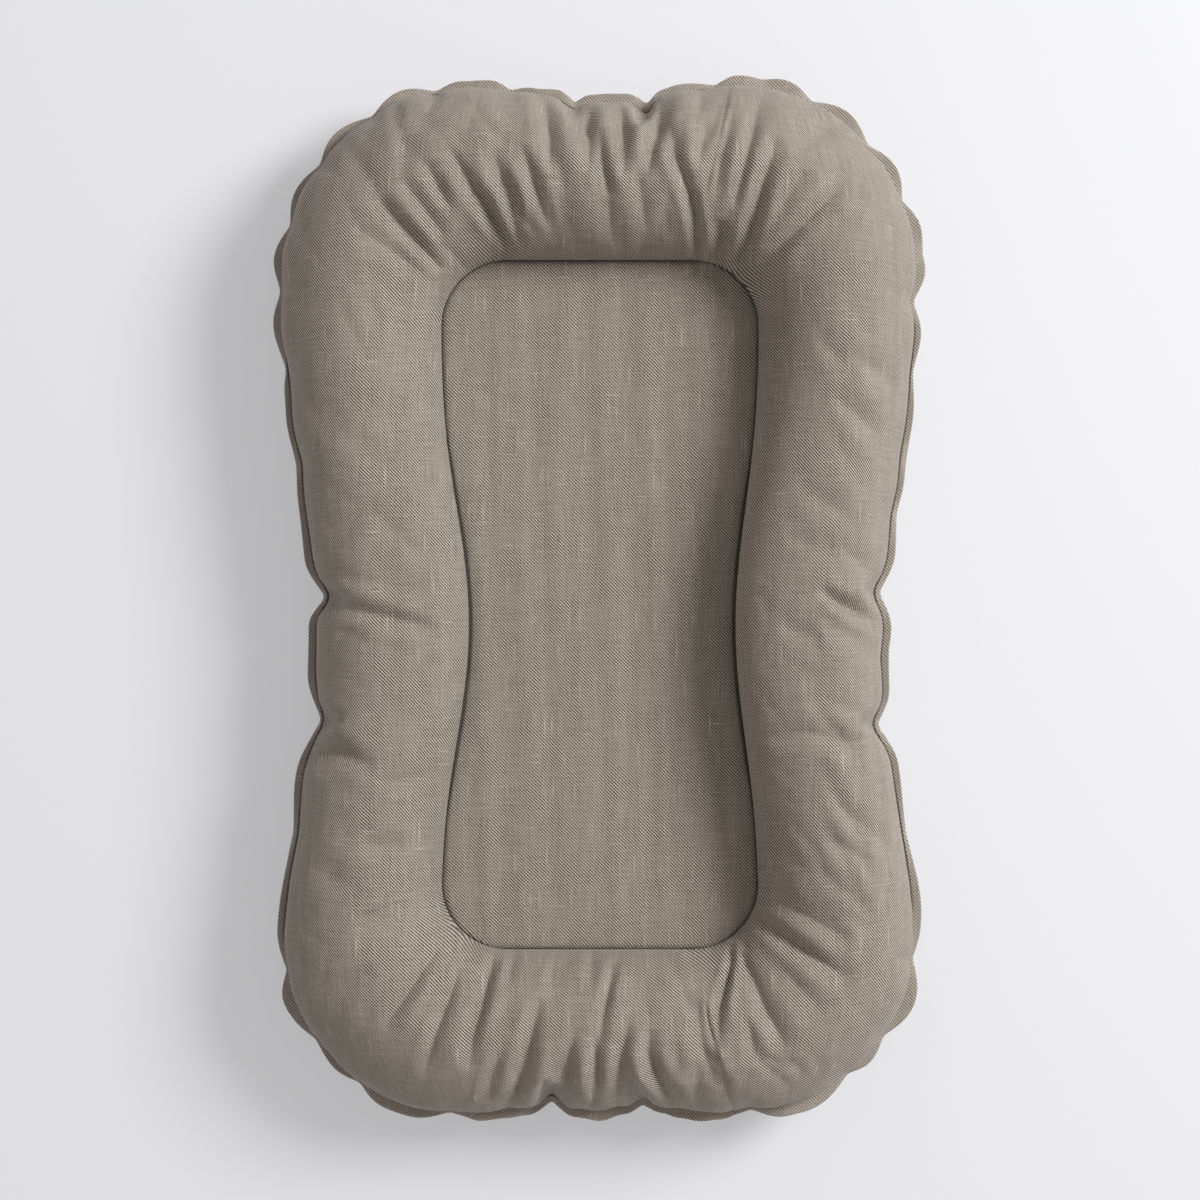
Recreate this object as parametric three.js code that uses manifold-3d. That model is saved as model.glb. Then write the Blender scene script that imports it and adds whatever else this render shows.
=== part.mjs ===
// Infant lounger: a stuffed ring bolster round an unpadded sling, in a removable zipped cover.
// Millimetres, +Z up. +Y points to the head end. The origin is on the floor, under the middle.
import * as THREE from 'three';
import { mergeVertices } from 'three/addons/utils/BufferGeometryUtils.js';
import Module from 'manifold-3d';

const wasm = await Module();
wasm.setup();

// Outline seen from above, measured to the edge of the outer flange
const overallWidth = 458;
const overallLength = 737;
const outerCornerRadius = 135;
const waistDip = 23;
const waistFootShift = 30;
const waistReach = 235;
const headDip = 12;
const headDipHalfWidth = 90;
const flangeWidth = 7;

// Inner seam, round the flat nest. A foot shift is how far the middle lies towards the foot.
const nestWidth = 225;
const nestLength = 488;
const nestFootShift = 3.5;
const nestCornerRadius = 50;
const nestWaistDip = 9.5;
const nestWaistFootShift = 18;
const nestWaistReach = 210;

// Heights above the floor
const endCrown = 105;
const sideCrown = 98;
const outerSeamHeight = 48;
const nestHeight = 32;
const nestSag = 5;
const baseSeamHeight = 16.5;

// Fabric layers, from the outside in
const coverThickness = 1.2;
const linerThickness = 0.6;
const clearance = 0.3;

// Stuffing pushes the waist out over the nest seam, and gathers draw the outside in
const sideBulge = 14;
const notchDepth = 11;
const foldDepth = 5;
const flangeRipple = 1.5;

// Zip along the underside, with moulded teeth
const zipEndMargin = 44;
const toothPitch = 3.6;
const toothRoot = 1.1;
const toothHead = 1.7;
const toothReach = 1.1;
const spineGap = 1.9;
const spineWidth = 1.2;
const toothThickness = 2.4;
const tapeWidth = 14;
const tapeThickness = 0.6;
const tapeTail = 16;
const stopLength = 2.6;
const bottomStopThickness = 3;
const zipOpeningMargin = 1.7;

// Zip slider
const sliderLength = 14;
const sliderRearMargin = 1.4;
const sliderFrontMargin = 1;
const channelClearance = 0.4;
const throatWidth = 4.5;
const sliderPlate = 1;
const dividerWidth = 1.8;
const dividerLength = 6;
const sliderSideGap = 0.6;
const lugWidth = 1.8;
const lugOpening = 4.6;
const lugDrop = 2.4;
const lugLeg = 1.2;
const lugBridge = 1;
const weldDepth = 0.4;
const cutOverrun = 1;

// Pull tab
const pullBar = 1.3;
const pullThickness = 1.2;
const pullArm = 1.2;
const pullLength = 11.5;
const pullRunningGap = 0.5;

// Section and form shares, chosen by eye from the photograph
const topRows = 6;
const endRoundShare = 0.6;
const sideRoundShare = 1;
const sagMidShare = 0.6;
const wideLobeShare = 0.385;

// Underside section from nest seam to outer seam: share across, share of the base seam's height
// and share of the outer seam's height. The two middle rows bound the flat that rests on the floor.
const undersideShares = [
  [0, 1, 0],
  [0.28, 0, 0],
  [0.72, 0, 0],
  [0.95, 0, 0.375],
  [1, 0, 1],
];

// Places round the ring count like the hours of a clock, seen from above: 0 is the middle of the
// head, 3 the right waist, 6 the middle of the foot and 9 the left waist. Each corner takes the
// middle hour of its quarter.
const hoursRound = 12;
const hoursInQuarter = 3;
const quarterTurn = Math.PI / 2;

// Gathers that show in the photograph: hour at the outer seam, hour at the nest seam, share of the
// notch depth, share of the fold depth, and where across the ring the fold starts and ends.
const gatherShares = [
  [0.09, 0.17, 0, 0.7, 0.3, 0.75],
  [0.34, 0.33, 0.86, 0.8, 0.45, 1],
  [0.66, 1.08, 0.1, 1, 0.03, 0.85],
  [1.16, 1.24, 0, 0.8, 0.35, 0.9],
  [1.29, 1.34, 0.25, 1, 0.05, 0.7],
  [1.55, 1.57, 0.45, 0.9, 0.05, 0.85],
  [1.72, 1.75, 0.32, 0.2, 0.6, 1],
  [2.11, 2.1, 0.64, 0.3, 0.6, 1],
  [2.29, 2.28, 0.5, 0.2, 0.6, 1],
  [2.74, 2.74, 0.32, 0.2, 0.6, 1],
  [2.98, 2.97, 0.64, 0.6, 0.55, 1],
  [3.38, 3.38, 1, 0.6, 0.5, 1],
  [3.74, 3.74, 0.5, 0.2, 0.6, 1],
  [4.11, 4.1, 0.38, 0.4, 0.25, 0.65],
  [4.35, 4.26, 0.32, 0.8, 0.03, 0.5],
  [4.66, 4.54, 0.32, 1, 0.08, 0.65],
  [4.94, 4.74, 0.32, 1, 0.03, 0.5],
  [5.06, 4.93, 0, 0.6, 0.3, 0.85],
  [5.4, 5.5, 0, 0.6, 0.4, 0.85],
  [5.69, 5.64, 0.75, 0.7, 0.7, 1],
  [5.97, 5.82, 0, 1, 0.05, 0.95],
  [6.21, 6.13, 0, 0.8, 0.5, 0.95],
  [6.37, 6.32, 1, 0.8, 0.7, 1],
  [6.6, 6.53, 0, 1, 0.2, 0.95],
  [7.03, 7.1, 0.18, 1, 0, 0.65],
  [7.5, 7.5, 0.1, 0.5, 0.1, 0.6],
  [7.89, 7.89, 0.25, 0.1, 0.6, 1],
  [8.29, 8.29, 0.55, 0.2, 0.6, 1],
  [8.64, 8.64, 0.77, 0.6, 0.5, 1],
  [9.02, 8.96, 0.57, 0.7, 0.3, 1],
  [9.43, 9.43, 0.45, 0.2, 0.6, 1],
  [9.71, 9.71, 0.77, 0.2, 0.6, 1],
  [10.05, 10.05, 0.27, 0.1, 0.6, 1],
  [10.41, 10.33, 0.38, 0.6, 0.03, 0.7],
  [10.62, 10.44, 0.32, 1, 0.03, 0.6],
  [10.86, 10.81, 0.1, 0.9, 0.2, 0.75],
  [11.05, 11.02, 0, 1, 0.03, 0.5],
  [11.36, 11.52, 0.25, 0.9, 0.25, 0.75],
  [11.63, 11.67, 0.1, 1, 0.45, 1],
  [11.82, 11.8, 0.82, 0.8, 0.7, 1],
];

const { lerp } = THREE.MathUtils;

// Plan curves: rounded rectangles that draw in at the waist
const outerSeam = {
  halfWidth: overallWidth / 2 - flangeWidth,
  headReach: overallLength / 2 - flangeWidth,
  footReach: overallLength / 2 - flangeWidth,
  cornerRadius: outerCornerRadius - flangeWidth,
  sideDip: waistDip,
  sidePlace: -waistFootShift,
  sideReach: waistReach,
  endDip: headDip,
};

const nestSeam = {
  halfWidth: nestWidth / 2,
  headReach: nestLength / 2 - nestFootShift,
  footReach: nestLength / 2 + nestFootShift,
  cornerRadius: nestCornerRadius,
  sideDip: nestWaistDip,
  sidePlace: -nestWaistFootShift,
  sideReach: nestWaistReach,
  endDip: 0,
};

function dipShare(distance, reach) {
  return Math.abs(distance) < reach ? Math.cos((quarterTurn * distance) / reach) ** 2 : 0;
}

// Point of a plan curve at an hour, moved towards the middle of the lounger by an inset
function planPoint(curve, hour, inset) {
  const turned = ((hour % hoursRound) + hoursRound) % hoursRound;
  const quarter = Math.floor(turned / hoursInQuarter);
  const local = turned - quarter * hoursInQuarter;
  const fromEnd = quarter % 2 === 0 ? local : hoursInQuarter - local;
  const right = quarter < 2;
  const head = quarter === 0 || quarter === 3;
  const reach = head ? curve.headReach : curve.footReach;
  const straightX = curve.halfWidth - curve.cornerRadius;
  const straightY = reach - curve.cornerRadius;
  let x;
  let y;
  if (fromEnd <= 1) {
    x = straightX * fromEnd;
    y = reach - inset;
  } else if (fromEnd <= 2) {
    const angle = quarterTurn * (fromEnd - 1);
    x = straightX + (curve.cornerRadius - inset) * Math.sin(angle);
    y = straightY + (curve.cornerRadius - inset) * Math.cos(angle);
  } else {
    x = curve.halfWidth - inset;
    y = straightY * (hoursInQuarter - fromEnd);
  }
  const dipY = head ? y : -y;
  const drawnX = x - curve.sideDip * dipShare(dipY - curve.sidePlace, curve.sideReach);
  const drawnY = head ? dipY - curve.endDip * dipShare(x, headDipHalfWidth) : dipY;
  return new THREE.Vector2(right ? drawnX : -drawnX, drawnY);
}

// Stations: one line across the ring at each gather, and one or two on the puff between gathers
function hoursBetween(from, to) {
  return (((to - from) % hoursRound) + hoursRound) % hoursRound;
}

function makeStations() {
  const stations = [];
  gatherShares.forEach(([outer, inner, notchShare, foldShare, startShare, endShare], index) => {
    const [nextOuter, nextInner] = gatherShares[(index + 1) % gatherShares.length];
    const outerStep = hoursBetween(outer, nextOuter);
    const innerStep = hoursBetween(inner, nextInner);
    stations.push(makeStation(outer, inner, notchShare, foldShare, startShare, endShare));
    const puffs = outerStep > wideLobeShare ? 2 : 1;
    for (let puff = 1; puff <= puffs; puff += 1) {
      const way = puff / (puffs + 1);
      stations.push(makeStation(outer + outerStep * way, inner + innerStep * way, 0, 0, 0, 1));
    }
  });
  return stations;
}

function makeStation(outerHour, innerHour, notchShare, foldShare, startShare, endShare) {
  const inner = planPoint(nestSeam, innerHour, 0);
  const outer = planPoint(outerSeam, outerHour, notchShare * notchDepth);
  const rim = planPoint(outerSeam, outerHour, notchShare * notchDepth - flangeWidth);
  const direction = outer.clone().sub(inner);
  const span = direction.length();
  direction.divideScalar(span);
  const station = { inner, rim, direction, span, notchShare, innerHour };
  station.top = topSection(station, foldShare * foldDepth, startShare, endShare);
  station.base = baseSection(station);
  return station;
}

// Section points lie in the upright plane of their station: x is the way across, y the height.
// Each has the unit direction that leads into the stuffing.
function topSection({ inner, direction, span }, fold, startShare, endShare) {
  const sideShare = direction.x ** 2;
  const crown = lerp(endCrown, sideCrown, sideShare);
  const roundShare = lerp(endRoundShare, sideRoundShare, sideShare);
  const bulge = sideBulge * dipShare(inner.y + nestWaistFootShift, nestWaistReach);
  const rise = crown - (nestHeight + outerSeamHeight) / 2;
  const points = [];
  for (let row = 0; row <= topRows; row += 1) {
    const way = row / topRows;
    const turn = Math.PI * way;
    const round = (1 - Math.cos(turn)) / 2;
    const across = span * lerp(way, round, roundShare) - bulge * Math.max(0, Math.sin(2 * turn));
    const seamLevel = lerp(nestHeight, outerSeamHeight + clearance / 2, way);
    points.push(new THREE.Vector2(across, seamLevel + rise * Math.sin(turn)));
  }
  const inward = inwardNormals(points, -1);
  inward[0].set(1, 0);
  inward[topRows].set(-1, 0);
  points.forEach((point, row) => {
    const along = (point.x / span - startShare) / (endShare - startShare);
    const depth = along > 0 && along < 1 ? fold * Math.sin(Math.PI * along) : 0;
    point.addScaledVector(inward[row], depth);
  });
  return { points, inward };
}

function baseSection({ span }) {
  const last = undersideShares.length - 1;
  const seamDrop = clearance / 2;
  const points = undersideShares.map(([across, baseShare, outerShare]) => {
    const height = baseShare * baseSeamHeight + outerShare * (outerSeamHeight - seamDrop);
    return new THREE.Vector2(across * span, height);
  });
  const inward = inwardNormals(points, 1);
  inward[0].set(0, 1);
  inward[last].set(-1, 0);
  return { points, inward };
}

function inwardNormals(points, side) {
  return points.map((point, index) => {
    const before = points[Math.max(index - 1, 0)];
    const after = points[Math.min(index + 1, points.length - 1)];
    const tangent = after.clone().sub(before).normalize();
    return new THREE.Vector2(-side * tangent.y, side * tangent.x);
  });
}

// Points in space
function stationPoint(station, across, height) {
  const { inner, direction } = station;
  return new THREE.Vector3(inner.x + direction.x * across, inner.y + direction.y * across, height);
}

function layerRow(station, section, depth) {
  return section.points.map((point, row) => {
    const moved = point.clone().addScaledVector(section.inward[row], depth);
    return stationPoint(station, moved.x, moved.y);
  });
}

// The base section's first row, seated inside the cover's edge instead of on it
function innerBaseRow(station, depth) {
  const row = layerRow(station, station.base, depth);
  row[0] = stationPoint(station, depth, baseSeamHeight + depth);
  return row;
}

// Sagging sheet across the nest: a ring part of the way to the middle, and the middle itself
function sagRingPoint(station, height) {
  const x = station.inner.x * sagMidShare;
  const y = lerp(-nestFootShift, station.inner.y, sagMidShare);
  return new THREE.Vector3(x, y, height - nestSag * (1 - sagMidShare ** 2));
}

function sagMiddle(height) {
  return new THREE.Vector3(0, -nestFootShift, height - nestSag);
}

// Solid woven from one chain of points per station. Without poles each chain closes on itself.
// A chain runs out along one face and, from its turn, back along the other, where the quads are
// split the other way round: so the faces of neighbouring layers stay parallel.
function weave(chains, poles = [], turn = chains[0].length / 2) {
  const length = chains[0].length;
  const count = chains.length;
  const vertices = chains.flat();
  const faces = [];
  const links = poles.length ? length - 1 : length;
  chains.forEach((chain, index) => {
    const here = index * length;
    const there = ((index + 1) % count) * length;
    for (let link = 0; link < links; link += 1) {
      const next = (link + 1) % length;
      if (link < turn) {
        faces.push([here + link, here + next, there + next]);
        faces.push([here + link, there + next, there + link]);
      } else {
        faces.push([here + link, here + next, there + link]);
        faces.push([here + next, there + next, there + link]);
      }
    }
    if (poles.length) {
      faces.push([vertices.length, here, there]);
      faces.push([vertices.length + 1, there + length - 1, here + length - 1]);
    }
  });
  return closedGeometry([...vertices, ...poles], faces);
}

// Closed geometry whose faces point out whichever way the stations run
function closedGeometry(vertices, faces) {
  let volume = 0;
  faces.forEach(([a, b, c]) => {
    volume += vertices[a].dot(vertices[b].clone().cross(vertices[c]));
  });
  const turned = volume < 0 ? faces.map(([a, b, c]) => [a, c, b]) : faces;
  const geometry = new THREE.BufferGeometry();
  const positions = vertices.flatMap((vertex) => vertex.toArray());
  geometry.setAttribute('position', new THREE.Float32BufferAttribute(positions, 3));
  geometry.setIndex(turned.flat());
  return geometry;
}

function shellChain(outside, inside) {
  return [...outside, ...[...inside].reverse()];
}

// Cover
function coverTopRing(stations) {
  return weave(stations.map((station) => shellChain(
    layerRow(station, station.top, 0),
    layerRow(station, station.top, coverThickness),
  )));
}

function coverBaseRing(stations) {
  return weave(stations.map((station) => shellChain(
    layerRow(station, station.base, 0),
    layerRow(station, station.base, coverThickness),
  )));
}

function coverCentrePanel(stations) {
  const underside = nestHeight - coverThickness;
  const chains = stations.map((station) => [
    sagRingPoint(station, nestHeight),
    stationPoint(station, -clearance, nestHeight),
    stationPoint(station, -clearance, underside),
    sagRingPoint(station, underside),
  ]);
  return weave(chains, [sagMiddle(nestHeight), sagMiddle(underside)]);
}

// The two seam allowances stand out of the outer seam and ripple between the gathers
function outerSeamFlange(stations) {
  const chains = stations.map((station) => {
    const ripple = flangeRipple * (station.notchShare > 0 ? 1 : -1);
    const root = station.span + clearance;
    const edge = (height) => new THREE.Vector3(station.rim.x, station.rim.y, height + ripple);
    const lower = outerSeamHeight - coverThickness;
    const upper = outerSeamHeight + coverThickness;
    return [
      stationPoint(station, root, lower),
      stationPoint(station, root, upper),
      edge(upper),
      edge(lower),
    ];
  });
  return weave(chains);
}

// Liner of the stuffed insert: each panel runs on across the nest as one layer of the sling
const linerDepth = coverThickness + clearance;
const linerInnerDepth = linerDepth + linerThickness;
const fillDepth = linerInnerDepth + clearance;
const slingTop = nestHeight - coverThickness - clearance;
const slingMiddle = slingTop - linerThickness;
const slingLower = slingMiddle - clearance;
const slingBottom = slingLower - linerThickness;

function linerTopPanel(stations) {
  const chains = stations.map((station) => [
    sagRingPoint(station, slingTop),
    stationPoint(station, linerDepth, slingTop),
    ...shellChain(
      layerRow(station, station.top, linerDepth),
      layerRow(station, station.top, linerInnerDepth),
    ),
    stationPoint(station, linerInnerDepth, slingMiddle),
    sagRingPoint(station, slingMiddle),
  ]);
  return weave(chains, [sagMiddle(slingTop), sagMiddle(slingMiddle)]);
}

function linerBasePanel(stations) {
  const chains = stations.map((station) => [
    sagRingPoint(station, slingBottom),
    stationPoint(station, linerDepth, slingBottom),
    ...shellChain(innerBaseRow(station, linerDepth), innerBaseRow(station, linerInnerDepth)),
    stationPoint(station, linerInnerDepth, slingLower),
    sagRingPoint(station, slingLower),
  ]);
  return weave(chains, [sagMiddle(slingBottom), sagMiddle(slingLower)]);
}

function bolsterFill(stations) {
  const chains = stations.map((station) => {
    const over = layerRow(station, station.top, fillDepth);
    const under = innerBaseRow(station, fillDepth).slice(0, -1).reverse();
    return [...over, ...under];
  });
  return weave(chains, [], topRows);
}

// Zip: the chain runs along the middle of the underside, closed at the foot end
const chainHeight = baseSeamHeight + coverThickness + clearance + tapeThickness / 2;
const chainStart = zipEndMargin - nestFootShift - nestLength / 2;
const teethPerRow = Math.floor((nestLength - 2 * zipEndMargin) / toothPitch);
const chainEnd = chainStart + teethPerRow * toothPitch;
const tapeInner = spineGap + spineWidth + clearance;
const dividerTip = chainStart - clearance;
const sliderFront = dividerTip - dividerLength;
const sliderRear = sliderFront + sliderLength;
const sliderMiddle = (sliderFront + sliderRear) / 2;
const channelRear = spineGap + spineWidth + channelClearance;
const channelFront = dividerWidth / 2 + throatWidth;
const sliderRearHalf = channelRear + sliderRearMargin;
const sliderFrontHalf = channelFront + sliderFrontMargin;
const bottomStopStart = chainEnd + clearance;
const openingHalf = sliderFrontHalf + sliderSideGap;
const openingFoot = sliderFront - zipOpeningMargin;
const openingHead = bottomStopStart + stopLength + zipOpeningMargin;

function upright(shape, depth, height) {
  const options = { depth, bevelEnabled: false, steps: 1, curveSegments: 6 };
  const geometry = new THREE.ExtrudeGeometry(shape, options);
  geometry.translate(0, 0, height - depth / 2);
  return geometry;
}

function closedShape(points) {
  return new THREE.Shape(points.map(([x, y]) => new THREE.Vector2(x, y)));
}

// Half of the base centre, from the closed joint at the middle to the nest seam
function baseCentreHalf(stations, side) {
  const joint = clearance / 2;
  const edge = [...stations]
    .sort((a, b) => side * (hoursBetween(0, a.innerHour) - hoursBetween(0, b.innerHour)))
    .map((station) => stationPoint(station, -clearance, 0))
    .filter((point) => point.x * side > joint);
  const headEdge = nestSeam.headReach - clearance;
  const footEdge = -nestSeam.footReach + clearance;
  const outline = [
    [side * joint, footEdge],
    [side * joint, openingFoot],
    [side * openingHalf, openingFoot],
    [side * openingHalf, openingHead],
    [side * joint, openingHead],
    [side * joint, headEdge],
    ...edge.map((point) => [point.x, point.y]),
  ];
  return upright(closedShape(outline), coverThickness, baseSeamHeight + coverThickness / 2);
}

function zipTape(side) {
  const length = chainEnd - chainStart + 2 * tapeTail;
  const geometry = new THREE.BoxGeometry(tapeWidth, length, tapeThickness);
  geometry.translate(side * (tapeInner + tapeWidth / 2), (chainStart + chainEnd) / 2, chainHeight);
  return geometry;
}

// One row of teeth on its cord. The left row stands half a pitch further on, so the rows mesh.
function teethRow(side) {
  const offset = side > 0 ? toothPitch / 4 : (toothPitch * 3) / 4;
  const outer = side * (spineGap + spineWidth);
  const root = side * spineGap;
  const tip = -side * toothReach;
  const outline = [[outer, chainStart], [root, chainStart]];
  for (let tooth = 0; tooth < teethPerRow; tooth += 1) {
    const middle = chainStart + offset + tooth * toothPitch;
    outline.push([root, middle - toothRoot / 2]);
    outline.push([tip, middle - toothHead / 2]);
    outline.push([tip, middle + toothHead / 2]);
    outline.push([root, middle + toothRoot / 2]);
  }
  outline.push([root, chainEnd], [outer, chainEnd]);
  return upright(closedShape(outline), toothThickness, chainHeight);
}

function topStop(side) {
  const geometry = new THREE.BoxGeometry(spineWidth, stopLength, toothThickness);
  const x = side * (spineGap + spineWidth / 2);
  geometry.translate(x, chainStart - clearance - stopLength / 2, chainHeight);
  return geometry;
}

function bottomStop() {
  const half = spineGap + spineWidth;
  const chamfer = spineWidth / 2;
  const start = bottomStopStart;
  const end = start + stopLength;
  const outline = [
    [-half, start],
    [half, start],
    [half, end - chamfer],
    [half - chamfer, end],
    [chamfer - half, end],
    [-half, end - chamfer],
  ];
  return upright(closedShape(outline), bottomStopThickness, chainHeight);
}

// Boolean work on closed geometries
function toManifold(geometry) {
  const plain = geometry.clone();
  plain.deleteAttribute('normal');
  plain.deleteAttribute('uv');
  const merged = mergeVertices(plain);
  return new wasm.Manifold(new wasm.Mesh({
    numProp: 3,
    vertProperties: new Float32Array(merged.attributes.position.array),
    triVerts: new Uint32Array(merged.index.array),
  }));
}

function fromManifold(solid) {
  const mesh = solid.getMesh();
  const geometry = new THREE.BufferGeometry();
  geometry.setAttribute('position', new THREE.BufferAttribute(mesh.vertProperties, 3));
  geometry.setIndex(new THREE.BufferAttribute(mesh.triVerts, 1));
  return geometry;
}

// Zip slider: two plates joined by the divider that parts the rows, with a lug under the lower one
const channelHeight = toothThickness + 2 * channelClearance;
const slotHeight = tapeThickness + 2 * channelClearance;
const sliderHeight = channelHeight + 2 * sliderPlate;
const sliderBottom = chainHeight - sliderHeight / 2;
const pivotHeight = sliderBottom - lugDrop / 2;

function sliderOutline() {
  const shape = new THREE.Shape();
  const shoulder = sliderFront + dividerLength / 2;
  shape.moveTo(-sliderRearHalf, sliderRear);
  shape.lineTo(-sliderRearHalf, dividerTip);
  shape.quadraticCurveTo(-sliderFrontHalf, dividerTip, -sliderFrontHalf, shoulder);
  shape.quadraticCurveTo(-sliderFrontHalf, sliderFront, -channelFront, sliderFront);
  shape.lineTo(channelFront, sliderFront);
  shape.quadraticCurveTo(sliderFrontHalf, sliderFront, sliderFrontHalf, shoulder);
  shape.quadraticCurveTo(sliderFrontHalf, dividerTip, sliderRearHalf, dividerTip);
  shape.lineTo(sliderRearHalf, sliderRear);
  return shape;
}

// Track of the teeth: single at the rear, parted round the divider at the front
function sliderTrack() {
  const half = dividerWidth / 2;
  const rearEnd = sliderRear + cutOverrun;
  const frontEnd = sliderFront - cutOverrun;
  const outline = [
    [channelRear, rearEnd],
    [channelRear, dividerTip],
    [channelFront, frontEnd],
    [half, frontEnd],
    [half, sliderFront],
    [0, dividerTip],
    [-half, sliderFront],
    [-half, frontEnd],
    [-channelFront, frontEnd],
    [-channelRear, dividerTip],
    [-channelRear, rearEnd],
  ];
  return upright(closedShape(outline), channelHeight, chainHeight);
}

function tapeSlot(side) {
  const slot = new THREE.BoxGeometry(sliderFrontHalf, sliderLength + 2 * cutOverrun, slotHeight);
  slot.translate(side * (tapeInner + sliderFrontHalf / 2), sliderMiddle, chainHeight);
  return slot;
}

function sliderLug() {
  const outer = lugOpening / 2 + lugLeg;
  const foot = -lugDrop - lugBridge;
  const shape = closedShape([
    [-outer, weldDepth],
    [-outer, -lugDrop],
    [-lugOpening / 2, foot],
    [lugOpening / 2, foot],
    [outer, -lugDrop],
    [outer, weldDepth],
    [lugOpening / 2, weldDepth],
    [lugOpening / 2, -lugDrop],
    [-lugOpening / 2, -lugDrop],
    [-lugOpening / 2, weldDepth],
  ]);
  return sideways(shape, lugWidth, sliderBottom);
}

// Extrusion along X of a shape drawn in the slider's side view, about its middle
function sideways(shape, width, height) {
  const geometry = upright(shape, width, 0);
  geometry.applyMatrix4(new THREE.Matrix4().makeBasis(
    new THREE.Vector3(0, 1, 0),
    new THREE.Vector3(0, 0, 1),
    new THREE.Vector3(1, 0, 0),
  ));
  geometry.translate(0, sliderMiddle, height);
  return geometry;
}

function zipSlider() {
  const body = toManifold(upright(sliderOutline(), sliderHeight, chainHeight))
    .subtract(toManifold(sliderTrack()))
    .subtract(toManifold(tapeSlot(1)))
    .subtract(toManifold(tapeSlot(-1)));
  return fromManifold(body.add(toManifold(sliderLug())));
}

// Pull tab: a flat fork whose bar passes through the lug, hanging straight down
function zipPullTab() {
  const innerHalf = lugWidth / 2 + pullRunningGap;
  const outerHalf = innerHalf + pullArm;
  const top = pullBar / 2;
  const webTop = -(lugOpening / 2 + lugLeg + pullRunningGap);
  const shape = new THREE.Shape();
  shape.moveTo(-outerHalf, top);
  shape.lineTo(-outerHalf, outerHalf - pullLength);
  shape.absarc(0, outerHalf - pullLength, outerHalf, Math.PI, 2 * Math.PI, false);
  shape.lineTo(outerHalf, top);
  shape.closePath();
  shape.holes.push(new THREE.Path([
    new THREE.Vector2(-innerHalf, -top),
    new THREE.Vector2(innerHalf, -top),
    new THREE.Vector2(innerHalf, webTop),
    new THREE.Vector2(-innerHalf, webTop),
  ]));
  const geometry = upright(shape, pullThickness, 0);
  geometry.rotateX(quarterTurn);
  geometry.translate(0, sliderMiddle, pivotHeight);
  return geometry;
}

// Finishes
const coverTwill = { color: 0x92887c, roughness: 0.95, metalness: 0 };
const linerCloth = { color: 0xe9e6e0, roughness: 0.95, metalness: 0 };
const fibreFill = { color: 0xf2f1ee, roughness: 1, metalness: 0 };
const zipWeave = { color: 0x8a8074, roughness: 0.9, metalness: 0 };
const zipMoulding = { color: 0x857b70, roughness: 0.45, metalness: 0 };
const zipMetal = { color: 0xa9a59e, roughness: 0.35, metalness: 1 };

const lounger = new THREE.Group();

function addPiece(name, geometry, finish) {
  const mesh = new THREE.Mesh(geometry, new THREE.MeshStandardMaterial(finish));
  mesh.name = name;
  lounger.add(mesh);
}

const stations = makeStations();
addPiece('cover_top_ring', coverTopRing(stations), coverTwill);
addPiece('cover_centre_panel', coverCentrePanel(stations), coverTwill);
addPiece('outer_seam_flange', outerSeamFlange(stations), coverTwill);
addPiece('cover_base_ring', coverBaseRing(stations), coverTwill);
addPiece('cover_base_centre_left', baseCentreHalf(stations, -1), coverTwill);
addPiece('cover_base_centre_right', baseCentreHalf(stations, 1), coverTwill);
addPiece('liner_top_panel', linerTopPanel(stations), linerCloth);
addPiece('liner_base_panel', linerBasePanel(stations), linerCloth);
addPiece('bolster_fill', bolsterFill(stations), fibreFill);
addPiece('zip_tape_left', zipTape(-1), zipWeave);
addPiece('zip_tape_right', zipTape(1), zipWeave);
addPiece('zip_teeth_left', teethRow(-1), zipMoulding);
addPiece('zip_teeth_right', teethRow(1), zipMoulding);
addPiece('zip_top_stop_left', topStop(-1), zipMoulding);
addPiece('zip_top_stop_right', topStop(1), zipMoulding);
addPiece('zip_bottom_stop', bottomStop(), zipMoulding);
addPiece('zip_slider', zipSlider(), zipMetal);
addPiece('zip_pull_tab', zipPullTab(), zipMetal);

export default lounger;
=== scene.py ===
# %% [markdown]
# # Infant lounger
# The real lounger is sewn: a ring of stuffing lies round a flat sling, and a removable cover is
# drawn over both. The cover's top ring is longer than the seams it is sewn to, so it gathers into
# folds at the head and the foot. The scene is in metres, in the same frame as the solids: +Z is
# up, +Y points to the head end, and the floor is at zero.

# %% Load the frame
import math
import bpy
import numpy as np
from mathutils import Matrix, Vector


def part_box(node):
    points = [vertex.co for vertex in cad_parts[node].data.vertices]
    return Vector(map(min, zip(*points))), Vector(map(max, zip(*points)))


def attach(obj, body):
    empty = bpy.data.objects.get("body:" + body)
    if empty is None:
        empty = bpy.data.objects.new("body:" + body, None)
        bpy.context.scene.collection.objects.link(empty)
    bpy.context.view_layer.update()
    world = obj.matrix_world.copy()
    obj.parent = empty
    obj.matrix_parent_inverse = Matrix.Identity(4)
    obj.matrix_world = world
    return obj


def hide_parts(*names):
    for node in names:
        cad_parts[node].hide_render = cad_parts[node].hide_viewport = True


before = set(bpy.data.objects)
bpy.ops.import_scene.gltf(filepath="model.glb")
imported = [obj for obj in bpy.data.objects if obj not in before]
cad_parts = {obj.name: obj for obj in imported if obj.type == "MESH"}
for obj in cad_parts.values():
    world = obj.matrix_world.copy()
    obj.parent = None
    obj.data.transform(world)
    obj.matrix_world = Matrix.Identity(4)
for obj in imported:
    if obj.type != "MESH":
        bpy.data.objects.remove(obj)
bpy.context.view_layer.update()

bpy.ops.object.select_all(action="DESELECT")

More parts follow.
